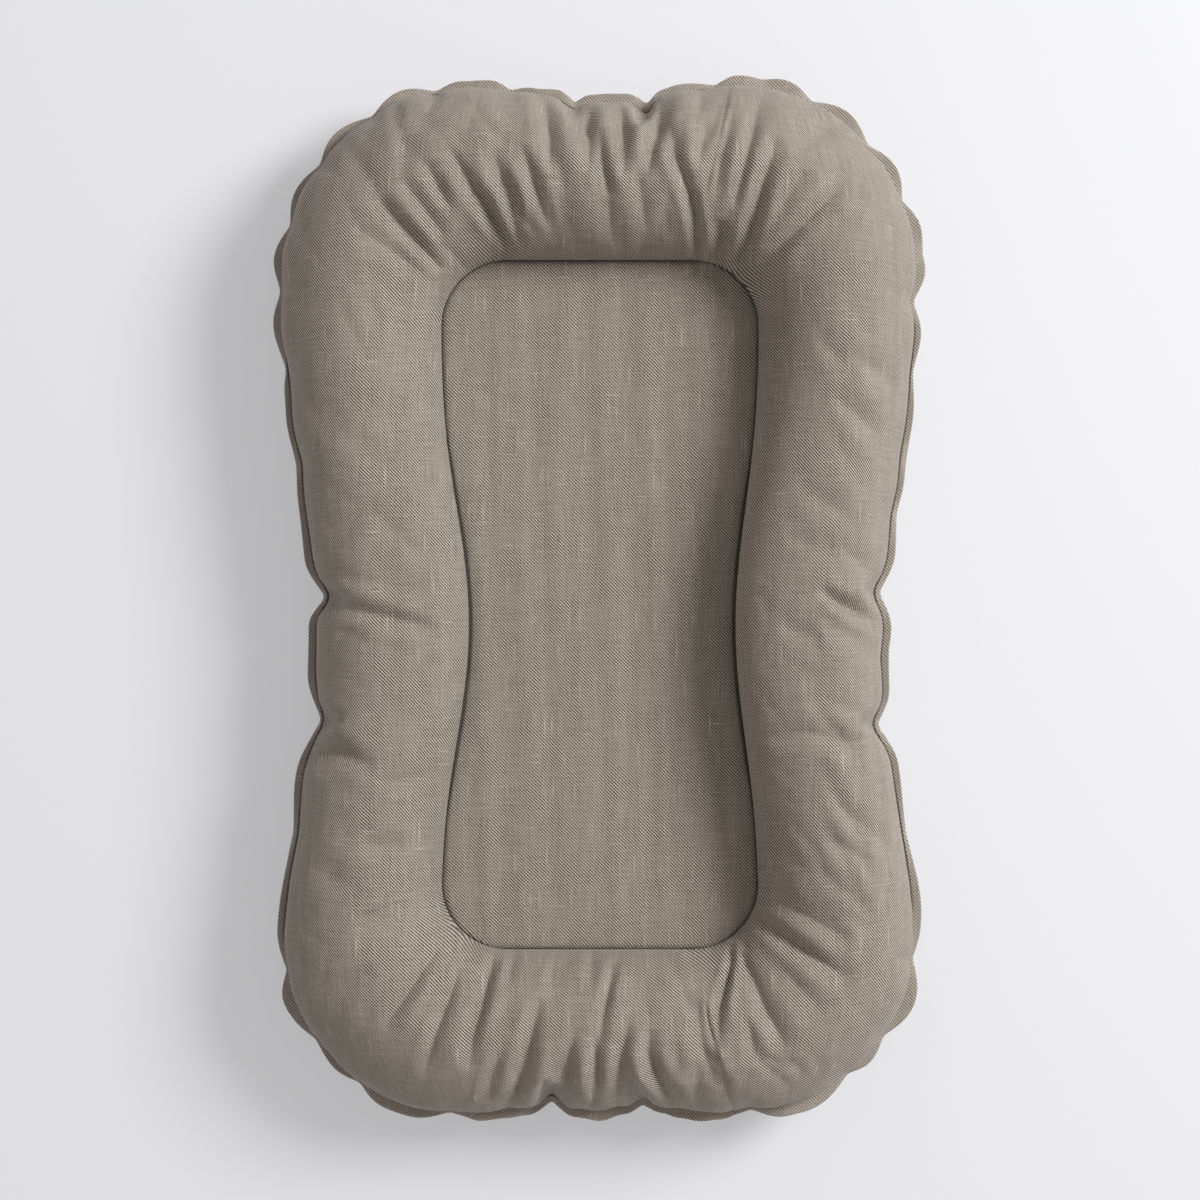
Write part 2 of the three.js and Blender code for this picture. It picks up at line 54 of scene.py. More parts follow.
# %% [markdown]
# ## Colours and nodes
# Colours are written as a painter would read them off a screen, in hex, and one function turns
# them into the linear values that the shader works in. One more function adds a node: an input
# takes a value, the output of another node, or another node, which gives its factor if it has
# one, and otherwise its first output.

# %% Colour and node helpers
MM = 0.001


def linear(hex_colour):
    channels = [int(hex_colour[place:place + 2], 16) / 255 for place in (0, 2, 4)]
    curved = [c / 12.92 if c <= 0.04045 else ((c + 0.055) / 1.055) ** 2.4 for c in channels]
    return (*curved, 1.0)


def add_node(tree, kind, inputs=None, **settings):
    node = tree.nodes.new("ShaderNode" + kind)
    for name, value in settings.items():
        setattr(node, name, value)
    for socket, value in (inputs or {}).items():
        if isinstance(value, bpy.types.Node):
            value = value.outputs.get("Fac", value.outputs[0])
        if isinstance(value, bpy.types.NodeSocket):
            tree.links.new(value, node.inputs[socket])
        else:
            node.inputs[socket].default_value = value
    return node


def start_material(name, values):
    """A new material, with these values on its shader's own sockets."""
    material = bpy.data.materials.new(name)
    material.use_nodes = True
    tree = material.node_tree
    shader = tree.nodes["Principled BSDF"]
    for socket, value in values.items():
        shader.inputs[socket].default_value = value
    return material, tree, shader


def colour_and_relief(tree, shader, pattern, dark, light, strength, depth):
    """A pattern runs from a dark colour to a light one, and stands up in millimetres."""
    colour = add_node(tree, "Mix", {
        "Factor": pattern, 6: linear(dark), 7: linear(light)}, data_type="RGBA")
    bump = add_node(tree, "Bump", {
        "Height": pattern, "Strength": strength, "Distance": depth * MM})
    tree.links.new(colour.outputs[2], shader.inputs["Base Color"])
    tree.links.new(bump.outputs[0], shader.inputs["Normal"])


def grained_material(name, values, grain, detail, dark, light, strength, depth, distortion=0.0):
    """A finish whose colour and relief follow one noise, its grain in millimetres."""
    material, tree, shader = start_material(name, values)
    place = add_node(tree, "TexCoord")
    noise = add_node(tree, "TexNoise", {
        "Vector": place.outputs["Object"], "Scale": 1 / (grain * MM), "Detail": detail,
        "Distortion": distortion})
    colour_and_relief(tree, shader, noise, dark, light, strength, depth)
    return material


def seen_directly(tree):
    """1 where the camera looks, also in a mirror or through glass, and 0 for other light."""
    path = add_node(tree, "LightPath")
    seen = path.outputs["Is Camera Ray"]
    for ray in ("Is Glossy Ray", "Is Transmission Ray"):
        seen = add_node(tree, "Math", {0: seen, 1: path.outputs[ray]}, operation="MAXIMUM")
    return seen


# %% [markdown]
# ## Camera
# The photograph is taken from straight above, so the camera hangs over the middle and looks down.
# Its lens is worked out from two sizes: how high it hangs over the outer seam, and how wide a
# strip of floor the picture takes in at that height.

# %% Camera over the lounger
CAMERA_HEIGHT = 2.4
SEAM_LEVEL = 0.048
VIEW_WIDTH = 0.8464
VIEW_MIDDLE = -0.0007
SENSOR = 36.0
bpy.ops.object.camera_add(location=(0, VIEW_MIDDLE, CAMERA_HEIGHT), rotation=(0, 0, 0))
camera = bpy.context.object
camera.data.sensor_width = SENSOR
camera.data.lens = SENSOR * (CAMERA_HEIGHT - SEAM_LEVEL) / VIEW_WIDTH
bpy.context.scene.camera = camera
bpy.context.scene.view_settings.view_transform = "Standard"
print(f"lens {camera.data.lens:.1f} mm")

# %% [markdown]
# ## Light
# The photograph is lit by one big soft lamp from the upper right, with a bright room all round it.
# The left inner wall catches the lamp, and the right one throws a soft shadow on the nest. An area
# lamp does the first, and an even world the second.

# %% Soft lamp and even room
ROOM_LEVEL = 0.375
LAMP_PLACE = (2.46, 1.25, 2.31)
LAMP_SIZE = 1.55
LAMP_POWER = 111
bpy.ops.object.light_add(type="AREA", location=LAMP_PLACE)
lamp = bpy.context.object
lamp.name = "window_lamp"
lamp.data.shape = "DISK"
lamp.data.size = LAMP_SIZE
lamp.data.energy = LAMP_POWER
lamp_x, lamp_y, lamp_z = LAMP_PLACE
lamp_aside = math.hypot(lamp_x, lamp_y)
lamp.rotation_euler = (math.atan2(lamp_aside, lamp_z), 0,
                       math.atan2(-lamp_y, -lamp_x) - math.pi / 2)
world = bpy.data.worlds.new("bright_room")
bpy.context.scene.world = world
world.use_nodes = True
air = world.node_tree
air.nodes.clear()
room = add_node(air, "Background", {"Color": linear("FEFAF4"), "Strength": ROOM_LEVEL})
backdrop = add_node(air, "Background", {"Color": linear("F1F1F3"), "Strength": 1.0})
chosen = add_node(air, "MixShader", {0: seen_directly(air), 1: room, 2: backdrop})
add_node(air, "OutputWorld", {"Surface": chosen})
print("lamp:", lamp.name, "room:", world.name)

# %% [markdown]
# ## Floor
# The lounger lies on smooth white paper, retouched as in a catalogue picture: the camera sees the
# paper's own shading mixed with its plain colour, which lifts the shadow but keeps it. Light that
# bounces off the paper is left as it is.

# %% Paper floor
PAPER_LIFT = 0.36
PAPER_SIZE = 12
bpy.ops.mesh.primitive_plane_add(size=PAPER_SIZE, location=(0, 0, 0))
floor = bpy.context.object
floor.name = "paper_floor"
paper, tree, shader = start_material("matt_white_paper", {
    "Base Color": linear("F1F2F7"), "Roughness": 0.9, "Specular IOR Level": 0.1})
lift = add_node(tree, "Math", {0: seen_directly(tree), 1: PAPER_LIFT}, operation="MULTIPLY")
plain = add_node(tree, "Emission", {"Color": linear("EFF0F4"), "Strength": 1.0})
lifted = add_node(tree, "MixShader", {0: lift, 1: shader, 2: plain})
tree.links.new(lifted.outputs[0], tree.nodes["Material Output"].inputs["Surface"])
floor.data.materials.append(paper)
print("floor:", floor.name)

# %% [markdown]
# ## The two seams, seen from above
# Both seams are rounded rectangles that draw in at the waist. A place round the ring is counted
# like the hours of a clock: 0 is the middle of the head, 3 the right waist, 6 the foot and 9 the
# left waist, and each corner takes the middle hour of its quarter. Sizes here are in millimetres,
# as on a cutting pattern, and turn into metres when a mesh is made.

# %% Seam curves
HOURS = 12
OUTER_SEAM = {"half": 222, "head": 361.5, "foot": 361.5, "corner": 128,
              "dip": 23, "dip_place": -30, "dip_reach": 235, "head_dip": 12}
NEST_SEAM = {"half": 112.5, "head": 240.5, "foot": 248.5, "corner": 47,
             "dip": 9.5, "dip_place": -18, "dip_reach": 210, "head_dip": 0}
HEAD_DIP_REACH = 90


def dip_share(distance, reach):
    near = np.clip(np.abs(distance) / reach, 0, 1)
    return np.cos(np.pi / 2 * near) ** 2


def seam_point(seam, hour, inset=0.0):
    turned = np.mod(hour, HOURS)
    quarter = np.floor(turned / 3)
    local = turned - 3 * quarter
    from_end = np.where(quarter % 2 == 0, local, 3 - local)
    head = (quarter == 0) | (quarter == 3)
    reach = np.where(head, seam["head"], seam["foot"])
    angle = np.pi / 2 * np.clip(from_end - 1, 0, 1)
    radius = seam["corner"] - inset
    x = (seam["half"] - seam["corner"]) * np.minimum(from_end, 1) + radius * np.sin(angle)
    y = (reach - seam["corner"]) * np.minimum(3 - from_end, 1) + radius * np.cos(angle)
    y = np.where(head, y, -y)
    drawn = x - seam["dip"] * dip_share(y - seam["dip_place"], seam["dip_reach"])
    y = y - np.where(head, seam["head_dip"] * dip_share(x, HEAD_DIP_REACH), 0)
    return np.stack([np.where(quarter < 2, drawn, -drawn), y], axis=-1)


print("waist half width:", seam_point(OUTER_SEAM, np.array([3.0]))[0])

# %% [markdown]
# ## Scallops of the outer seam
# Where the outer seam is gathered, the cloth draws in to a notch, and between two notches its
# rim stands out in a round scallop. Each row below is read off the photograph, on the clock of
# hours: how far the rim stands outside the even seam curve there, and how far the stuffed body
# does. A row with a rim lower than both its neighbours is a notch.

# %% Scallops seen in the photograph
SCALLOPS = [
    (0.05, 6.5, 0.5), (0.18, 5.6, 0), (0.36, -4.8, -12), (0.45, 3.4, -0.4), (0.58, 4.8, 0.3),
    (0.87, 0.6, -0.4), (1.03, 7.5, 1), (1.1, 6.3, 1.2), (1.175, 9.2, 1.4), (1.28, 1.2, 0.6),
    (1.4, 8, 1), (1.53, 0, -0.6), (1.645, 6.8, 0), (1.76, -0.4, -1), (1.87, 7.2, 0.6),
    (1.95, 5.8, 0.6), (2.01, 7.3, 0.8), (2.1, -1.8, -2.6), (2.2, 4.5, -0.6), (2.31, 0, -2),
    (2.46, 4.1, -1), (2.57, 3.7, -1.6), (2.66, 4.4, -0.4), (2.74, 2.5, -1.9), (2.87, 5.2, -0.6),
    (2.98, -4, -9.5), (3.09, 6.2, 0.3), (3.17, 4.2, -1.8), (3.27, 3.7, -1.3), (3.38, -7.5, -12.5),
    (3.5, 4.3, -1), (3.71, 2.2, -0.8), (3.91, 6.7, 0), (4.1, -0.5, -1), (4.25, 9.7, 1.2),
    (4.39, 1.2, 0.6), (4.49, 5.8, 0.8), (4.57, 1, 0.4), (4.74, 9.5, 1), (4.81, 8.3, 0.4),
    (4.935, -1.4, -2), (5.1, 5.2, 0.5), (5.24, 6.5, -0.3), (5.42, 4, -2.4), (5.52, 0.8, -3.2),
    (5.68, -5.3, -10.5), (5.82, 1.5, -3), (6, 6.3, -0.5), (6.18, 3.6, -2), (6.36, -8.3, -12),
    (6.55, 2.2, -3), (6.7, 4.2, -1.8), (6.9, 6.2, 0.6), (7.06, 0.5, 0), (7.2, 9.2, 2.4),
    (7.28, 9.7, 2.6), (7.39, 3, 2.4), (7.48, 6.5, 2.8), (7.6, 3.1, 2.5), (7.76, 10.5, 2.6),
    (7.86, 1.4, 1), (8.02, 6.3, 1.2), (8.3, 2.8, -1.2), (8.47, 7.3, 1.4), (8.635, -6.3, -8.8),
    (8.78, 6.4, 0.4), (8.92, 6.1, 0.5), (9.005, -7.5, -12), (9.12, 5.8, -0.3), (9.28, 5, 0),
    (9.41, 2.3, -2.6), (9.53, 4.7, 0.2), (9.62, 3.6, -1.2), (9.7, 0.6, -0.8), (9.83, 8.3, 3),
    (9.93, 2.7, 2), (10.02, 8, 2.2), (10.15, -0.5, -0.9), (10.26, 4.2, 0), (10.39, -2, -2.6),
    (10.5, 4.3, -1), (10.645, -2.5, -3.1), (10.77, 5, -1), (10.89, -2.2, -2.8),
    (10.98, 3.3, -1.2), (11.2, 4.5, -0.6), (11.33, -0.6, -1.3), (11.5, 4, 0.6),
    (11.69, 6.4, 0.8), (11.81, -1.2, -5.5), (11.93, 5.6, 0.5),
]


def smoothstep(value, low, high):
    way = np.clip((value - low) / (high - low), 0, 1)
    return way * way * (3 - 2 * way)


def fade_out(distance, reach):
    """1 at no distance, about a third at this reach and soon nothing beyond it."""
    return np.exp(-(distance / reach) ** 2)


def soften_round(values, reach):
    """Rounds a list that runs round the ring, by a short running average."""
    kernel = np.hanning(2 * reach + 3)[1:-1]
    kernel /= kernel.sum()
    padded = np.concatenate([values[-reach:], values, values[:reach]])
    return np.convolve(padded, kernel, mode="valid")


scallops = np.array(SCALLOPS)
rim_before, rim_after = (np.roll(scallops[:, 1], step) for step in (1, -1))
notch = scallops[:, 1] < np.minimum(rim_before, rim_after)


def scallop_reach(hours):
    """Reach of the rim and of the body outside the even seam, and 1 on a crest, 0 in a notch."""
    start = np.searchsorted(scallops[:, 0], hours, side="right") - 1
    end = (start + 1) % len(scallops)
    length = np.mod(scallops[end, 0] - scallops[start, 0], HOURS)
    way = np.mod(hours - scallops[start, 0], HOURS) / length
    rising = np.sin(np.pi / 2 * way)
    falling = 1 - np.cos(np.pi / 2 * way)
    even = (1 - np.cos(np.pi * way)) / 2
    blend = np.where(notch[start] & ~notch[end], rising,
                     np.where(notch[end] & ~notch[start], falling, even))
    table = np.column_stack([scallops[:, 1:], ~notch])
    return (table[start] + (table[end] - table[start]) * blend[:, None]).T


print("scallop rows:", len(SCALLOPS), "notches:", notch.sum())

# %% [markdown]
# ## Section of the bolster
# Cut across, the bolster is a round loaf: it rises steeply from the nest seam, crowns at about
# 100 mm and comes down steeply to the outer seam. At the waist the stuffing leans in over the nest.

# %% Section of the top ring
END_CROWN = 105
SIDE_CROWN = 98
OUTER_HEIGHT = 48
NEST_HEIGHT = 32
LEFT_BULGE = 20
RIGHT_BULGE = 16
END_ROUND = 1.05
END_ROUND_OUTSIDE = 0.85
END_ROUND_CHANGE = (0.35, 0.65)
SIDE_ROUND = 1.0
TOP_ROWS = 78
STEPS_IN_HOURS = (60, 112, 92)


def ring_hours():
    """Stations round the ring: hours at a corner get more of them than those at an end."""
    order = [*range(3), *reversed(range(3))] * 2
    return np.concatenate([hour + np.arange(STEPS_IN_HOURS[kind]) / STEPS_IN_HOURS[kind]
                           for hour, kind in enumerate(order)])


def top_surface():
    """Smooth top ring before any gather: its points, their share of the way, and its crown."""
    side = direction[:, 0] ** 2
    crown = END_CROWN + (SIDE_CROWN - END_CROWN) * side
    most = np.where(nest_line[:, 0] > 0, RIGHT_BULGE, LEFT_BULGE)
    bulge = most * dip_share(nest_line[:, 1] - NEST_SEAM["dip_place"], NEST_SEAM["dip_reach"])
    way = np.linspace(0, 1, TOP_ROWS)[None, :]
    turn = np.pi * way
    end_round = END_ROUND + (END_ROUND_OUTSIDE - END_ROUND) * smoothstep(way, *END_ROUND_CHANGE)
    round_share = end_round + (SIDE_ROUND - end_round) * side[:, None]
    share = way + ((1 - np.cos(turn)) / 2 - way) * round_share
    distance = span[:, None] * share - bulge[:, None] * np.clip(np.sin(2 * turn), 0, 1)
    level = NEST_HEIGHT + (OUTER_HEIGHT - NEST_HEIGHT) * way
    rise = crown - (NEST_HEIGHT + OUTER_HEIGHT) / 2
    height = level + rise[:, None] * np.sin(turn)
    plan = nest_line[:, None, :] + direction[:, None, :] * distance[..., None]
    points = np.concatenate([plan, height[..., None]], axis=2)
    return points, distance / span[:, None], crown


def grid_normals(points, side):
    """Unit normals of a ring's grid: side 1 for a top, -1 for an underside, so they point out."""
    along = np.roll(points, -1, axis=0) - np.roll(points, 1, axis=0)
    across = np.gradient(points, axis=1)
    normals = np.cross(along, across) * side
    return normals / np.linalg.norm(normals, axis=2, keepdims=True)


hours = ring_hours()
nest_line = seam_point(NEST_SEAM, hours)
outer_line = seam_point(OUTER_SEAM, hours)
span = np.linalg.norm(outer_line - nest_line, axis=1)
direction = (outer_line - nest_line) / span[:, None]
smooth_top, top_share, top_crown = top_surface()
print("top ring grid:", smooth_top.shape, "crown", smooth_top[..., 2].max())

# %% [markdown]
# ## Folds
# A gathered cloth falls in creases that run across the ring: a narrow valley between two soft
# ridges, deepest in its middle. Each row follows the photograph: a fold's depth and width, and
# then the places it runs through, each as its hour and its share of the way from the nest seam to
# the outer seam. What the photograph shows best is a fold's shaded wall, so the places are those
# of that wall, and the floor of the valley lies a little further from the lamp.

# %% Folds seen in the photograph
FOLDS = [
    # left half of the head
    (2.2, 9, 10.31, 0.6, 10.33, 0.15), (6, 7, 10.48, 0.58, 10.47, 0.35, 10.46, 0.08),
    (3, 7, 10.63, 0.56, 10.63, 0.18), (3, 6, 10.76, 0.58, 10.75, 0.28),
    (5, 7, 10.89, 0.62, 10.93, 0.38, 10.98, 0.2, 11.06, 0.02),
    (3.5, 9, 10.99, 0.35, 11.04, 0.15, 11.12, 0.02), (4, 7, 11.17, 0.52, 11.2, 0.28, 11.21, 0.05),
    (5.2, 8, 11.43, 0.62, 11.46, 0.4, 11.52, 0.15), (7, 9, 11.66, 0.97, 11.66, 0.72, 11.61, 0.48),
    (2, 9, 11.73, 0.6, 11.72, 0.35), (7, 9, 11.98, 0.96, 11.97, 0.72, 11.94, 0.48),
    (2.5, 8, 11.8, 1.0, 11.79, 0.86),
    # right half of the head
    (6, 8, 0.07, 0.78, 0.09, 0.5, 0.13, 0.34), (2.5, 9, 0.14, 0.42, 0.19, 0.06),
    (5, 7, 0.34, 0.99, 0.355, 0.78), (7, 9, 0.22, 0.97, 0.255, 0.74, 0.25, 0.46),
    (5.5, 9, 0.52, 0.98, 0.505, 0.72, 0.47, 0.46), (2.5, 9, 0.38, 0.58, 0.43, 0.38, 0.51, 0.14),
    (6, 6.5, 0.6, 0.77, 0.7, 0.54, 0.8, 0.41, 0.88, 0.31, 1.0, 0.16, 1.1, 0.01),
    (2.8, 7, 0.9, 0.82, 0.9, 0.48), (3, 6.5, 1.04, 0.85, 1.05, 0.5, 1.07, 0.3),
    (5, 6.5, 1.13, 0.88, 1.16, 0.58, 1.2, 0.27), (3.5, 7, 1.17, 0.2, 1.26, 0.01),
    (6.5, 7, 1.25, 0.7, 1.3, 0.43, 1.36, 0.22, 1.45, 0.01), (2.5, 8, 1.43, 0.62, 1.44, 0.34),
    (4.5, 7, 1.58, 0.78, 1.585, 0.4, 1.58, 0.1),
    # right half of the foot
    (3, 9, 4.08, 0.58, 4.05, 0.08), (5.5, 8, 4.24, 0.64, 4.25, 0.3, 4.25, 0.01),
    (2, 9, 4.42, 0.62, 4.42, 0.25), (5.5, 8, 4.66, 0.66, 4.64, 0.38, 4.56, 0.06),
    (3.5, 7, 4.815, 0.68, 4.77, 0.4),
    (6, 5.5, 4.975, 0.56, 4.93, 0.38, 4.88, 0.28, 4.8, 0.18, 4.6, 0.01),
    (4.5, 9, 5.01, 0.8, 5.06, 0.55, 5.02, 0.26), (2.5, 10, 5.2, 0.95, 5.14, 0.62),
    (6, 9, 5.38, 0.96, 5.48, 0.76, 5.54, 0.56, 5.5, 0.42), (5, 8, 5.66, 0.97, 5.68, 0.73),
    (6, 9, 5.81, 0.95, 5.76, 0.6, 5.69, 0.36),
    # left half of the foot
    (5.5, 8, 6.0, 0.97, 5.97, 0.7, 6.0, 0.46),
    (4.5, 5.5, 5.955, 0.52, 5.93, 0.34, 5.88, 0.2, 5.82, 0.03),
    (5.5, 10, 6.19, 0.96, 6.22, 0.7, 6.16, 0.42), (5, 9, 6.37, 0.97, 6.4, 0.73),
    (6.5, 8, 6.6, 0.98, 6.56, 0.68, 6.535, 0.24), (2.5, 8, 6.79, 0.9, 6.82, 0.55),
    (1.8, 6, 6.45, 0.2, 6.44, 0.0), (2, 6, 6.86, 0.2, 6.87, 0.0),
    (6, 7, 7.0, 0.68, 7.035, 0.48, 7.04, 0.28, 7.07, 0.02),
    (4.5, 6.5, 7.18, 0.78, 7.225, 0.52, 7.25, 0.33, 7.3, 0.12),
    (4.5, 7, 7.45, 0.64, 7.48, 0.4, 7.54, 0.08),
    # right side
    (2.8, 13, 2.33, 0.9, 2.2, 0.54), (3, 13, 2.49, 0.85, 2.33, 0.46),
    (2, 15, 2.75, 0.75, 2.6, 0.28), (2.8, 12, 2.91, 0.92, 2.82, 0.6),
    (8, 8, 3.06, 0.97, 3.02, 0.75, 2.97, 0.5), (2.8, 12, 3.1, 0.52, 3.08, 0.22),
    (2.2, 11, 3.34, 0.88, 3.3, 0.48), (2.5, 11, 3.79, 0.72, 3.76, 0.46),
    (4, 11, 3.39, 1.0, 3.43, 0.66, 3.42, 0.4, 3.47, 0.12),
    # left side
    (6, 12, 8.575, 1.0, 8.545, 0.78, 8.49, 0.5), (2.8, 10, 8.43, 0.46, 8.41, 0.14),
    (2.6, 10, 8.23, 0.5, 8.2, 0.24), (2.2, 13, 8.2, 0.85, 8.1, 0.5),
    (6.5, 9, 9.0, 0.99, 8.975, 0.66, 8.95, 0.42, 8.91, 0.1), (2.2, 10, 8.93, 0.96, 8.9, 0.6),
    (2.2, 10, 9.08, 0.96, 9.07, 0.52), (2.6, 15, 9.23, 0.88, 9.32, 0.46),
    (2.2, 17, 9.6, 0.88, 9.68, 0.4),
]

FOLD_SPREAD = 0.6
FOLD_NARROW = 0.75
FOLD_WIDENS = 0.5
FOLD_TAPER = 0.6
FOLD_GAIN = 1.2
FOLD_SHARPNESS = 1.3
RIDGE_HEIGHT = 0.2
RIDGE_PLACE = 2.3
RIDGE_WIDTH = 1.1
SHADED_WALL = 1.1


def fold_depth(share, millimetres_in_hour, folds, wall_side=0.0):
    """How far the cloth sinks at each point of the grid, in millimetres."""
    sunk = np.zeros_like(share)
    for depth, width, *places in folds:
        trail = np.array(places).reshape(-1, 2)
        trail = trail[np.argsort(trail[:, 1], kind="stable")]
        start, end = trail[0, 1], trail[-1, 1]
        along = (share - start) / (end - start)
        inside = np.clip(along, 0, 1)
        middle = np.interp(share, trail[:, 1], trail[:, 0])
        aside = np.mod(hours[:, None] - middle + HOURS / 2, HOURS) - HOURS / 2
        aside = aside * millimetres_in_hour
        ends = np.where((along > 0) & (along < 1), np.sin(np.pi * inside), 0) ** FOLD_TAPER
        half = width * FOLD_SPREAD * (FOLD_NARROW + FOLD_WIDENS * inside)
        aside = aside + wall_side * SHADED_WALL * half
        valley = np.exp(-np.abs(aside / half) ** FOLD_SHARPNESS)
        ridges = fade_out(np.abs(aside) - RIDGE_PLACE * half, RIDGE_WIDTH * half)
        sunk += FOLD_GAIN * depth * ends * (valley - RIDGE_HEIGHT * ridges)
    return sunk


print("folds seen in the photograph:", len(FOLDS))

# %% [markdown]
# ## Gathered ring
# The smooth loaf is drawn in at the notches, puffed out in the lobes between them, and creased
# along the folds. Small wrinkles and broad shallow dents, too faint to place one by one, come from
# a seeded scatter of short folds, so they are the same in every run.

# %% Faint wrinkles
SEED = 7
WRINKLES = 260
BROAD_DENTS = 90
NEAR_AN_END = 1.6


def short_fold(hour, middle, reach, lean, depth, width):
    """A fold round one place: it reaches across the ring and leans by so many hours."""
    return depth, width, hour - lean, middle - reach / 2, hour + lean, middle + reach / 2


def faint_folds():
    chance = np.random.RandomState(SEED)
    folds = []
    for _ in range(WRINKLES):
        hour = chance.uniform(0, HOURS)
        near_end = abs(((hour % 6) + 3) % 6 - 3) < NEAR_AN_END
        folds.append(short_fold(
            hour, middle=chance.choice([chance.uniform(0.05, 0.35), chance.uniform(0.6, 0.95)]),
            reach=chance.uniform(0.12, 0.3), lean=chance.uniform(-0.06, 0.06),
            depth=chance.uniform(0.3, 1.1) if near_end else chance.uniform(0.2, 0.6),
            width=chance.uniform(5, 11)))
    for _ in range(BROAD_DENTS):
        folds.append(short_fold(
            hour=chance.uniform(0, HOURS), middle=chance.uniform(0.3, 0.85),
            reach=chance.uniform(0.2, 0.5), lean=chance.uniform(0.01, 0.09),
            depth=chance.uniform(0.7, 2.0), width=chance.uniform(12, 22)))
    return folds


small_folds = faint_folds()
print("faint folds:", len(small_folds))

# %% [markdown]
# The stuffing hangs over the outer seam by a few millimetres, so from above the seam hides and only
# the rim peeps out in crescents. Along the sides it doesn't, and there the seam line shows.

# %% Gathered surface
OPEN_SEAMS = [(2.1, 4.0), (7.9, 9.78)]
OPEN_SEAM_BLEND = 0.1
TUCK = 2.6
PLEAT_SHARE = 0.65
PLEAT_LEAST = 7
PLEAT_WIDTH = 8
PLEAT_START = 1.06
PLEAT_END = 0.88
PLEAT_LONGER = 0.035
BODY_PUSH = (0.66, 0.9)
SEAM_PUSH = (0.93, 1.0)
PUFF = 1.3
PUFF_PLACE = 0.86
PUFF_REACH = 0.08
FREE_OF_FOLDS = (0.05, 0.94)


def seam_tuck():
    shows = 0
    for start, end in OPEN_SEAMS:
        shows = shows + (smoothstep(hours, start, start + OPEN_SEAM_BLEND)
                         * (1 - smoothstep(hours, end - OPEN_SEAM_BLEND, end)))
    return TUCK * (1 - shows)


def notch_pleats():
    """A short pleat that runs up from each notch, as deep as the notch is."""
    pleats = []
    crest = (rim_before + rim_after) / 2
    for (hour, low, _), high in zip(scallops[notch], crest[notch]):
        depth = PLEAT_SHARE * max(high - low - PLEAT_LEAST, 0)
        upper_end = PLEAT_END - PLEAT_LONGER * depth
        pleats.append((depth, PLEAT_WIDTH, hour, PLEAT_START, hour, upper_end))
    return pleats


rim_reach, body_reach, crest_share = (
    soften_round(values, reach) for values, reach in zip(scallop_reach(hours), (2, 4, 3)))
seam_reach = body_reach - seam_tuck()
outward = seam_point(OUTER_SEAM, hours, -1) - outer_line
lamp_way = np.array(LAMP_PLACE[:2]) / lamp_aside
wall_side = outward[:, 1] * lamp_way[0] - outward[:, 0] * lamp_way[1]
small_folds = notch_pleats() + small_folds


def gathered_surface(depth=0.0):
    """The ring with all its folds, or a layer that lies this deep under it."""
    way = np.linspace(0, 1, TOP_ROWS)[None, :]
    step = np.linalg.norm(np.roll(smooth_top, -1, axis=0) - smooth_top, axis=2)
    in_hour = step / np.mod(np.roll(hours, -1) - hours, HOURS)[:, None]
    push = body_reach[:, None] * smoothstep(way, *BODY_PUSH)
    push = push + (seam_reach - body_reach)[:, None] * smoothstep(way, *SEAM_PUSH)
    moved = smooth_top.copy()
    moved[..., :2] += outward[:, None, :] * push[..., None]
    puff = PUFF * crest_share[:, None] * fade_out(way - PUFF_PLACE, PUFF_REACH)
    sunk = fold_depth(top_share, in_hour, FOLDS, wall_side[:, None])
    sunk = sunk + fold_depth(top_share, in_hour, small_folds)
    inner_end, outer_end = FREE_OF_FOLDS
    fade = smoothstep(way, 0.0, inner_end) * (1 - smoothstep(way, outer_end, 1.0))
    return moved + grid_normals(smooth_top, 1) * ((puff - sunk) * fade - depth)[..., None]


gathered_top = gathered_surface()
print("gathered ring, highest point:", round(gathered_top[..., 2].max(), 1))

# %% [markdown]
# ## Twill
# The cover is a cotton and linen twill: a yarn of warm grey crosses a paler one, and the crossings
# step along in fine slanting ribs. Now and then a thicker, paler slub shows. The real ribs stand
# about 1.5 mm apart; they are drawn at 1.7 mm, because finer ones would not show at this distance.
# In patches a few centimetres wide the ribs are rubbed flat and show less. The cloth is dull and a
# little fuzzy, so it is rough all over and has a faint sheen at its edges.

# %% Cover twill
RIB_SPACING = 1.7
FLOAT_LENGTH = 1.6
WORN_PATCH = 26
WAVE_PERIOD = 2 * math.pi / (10 * math.sqrt(2))
ALONG = (1, 0.05, 1)
ACROSS = (0.05, 1, 1)


def yarn_noise(tree, flat, stretch, scale, detail):
    """Noise drawn out along a yarn: its stretch is small on the axis that the yarn follows."""
    place = add_node(tree, "Mapping", {"Vector": flat, "Scale": stretch})
    return add_node(tree, "TexNoise", {"Vector": place, "Scale": scale, "Detail": detail})


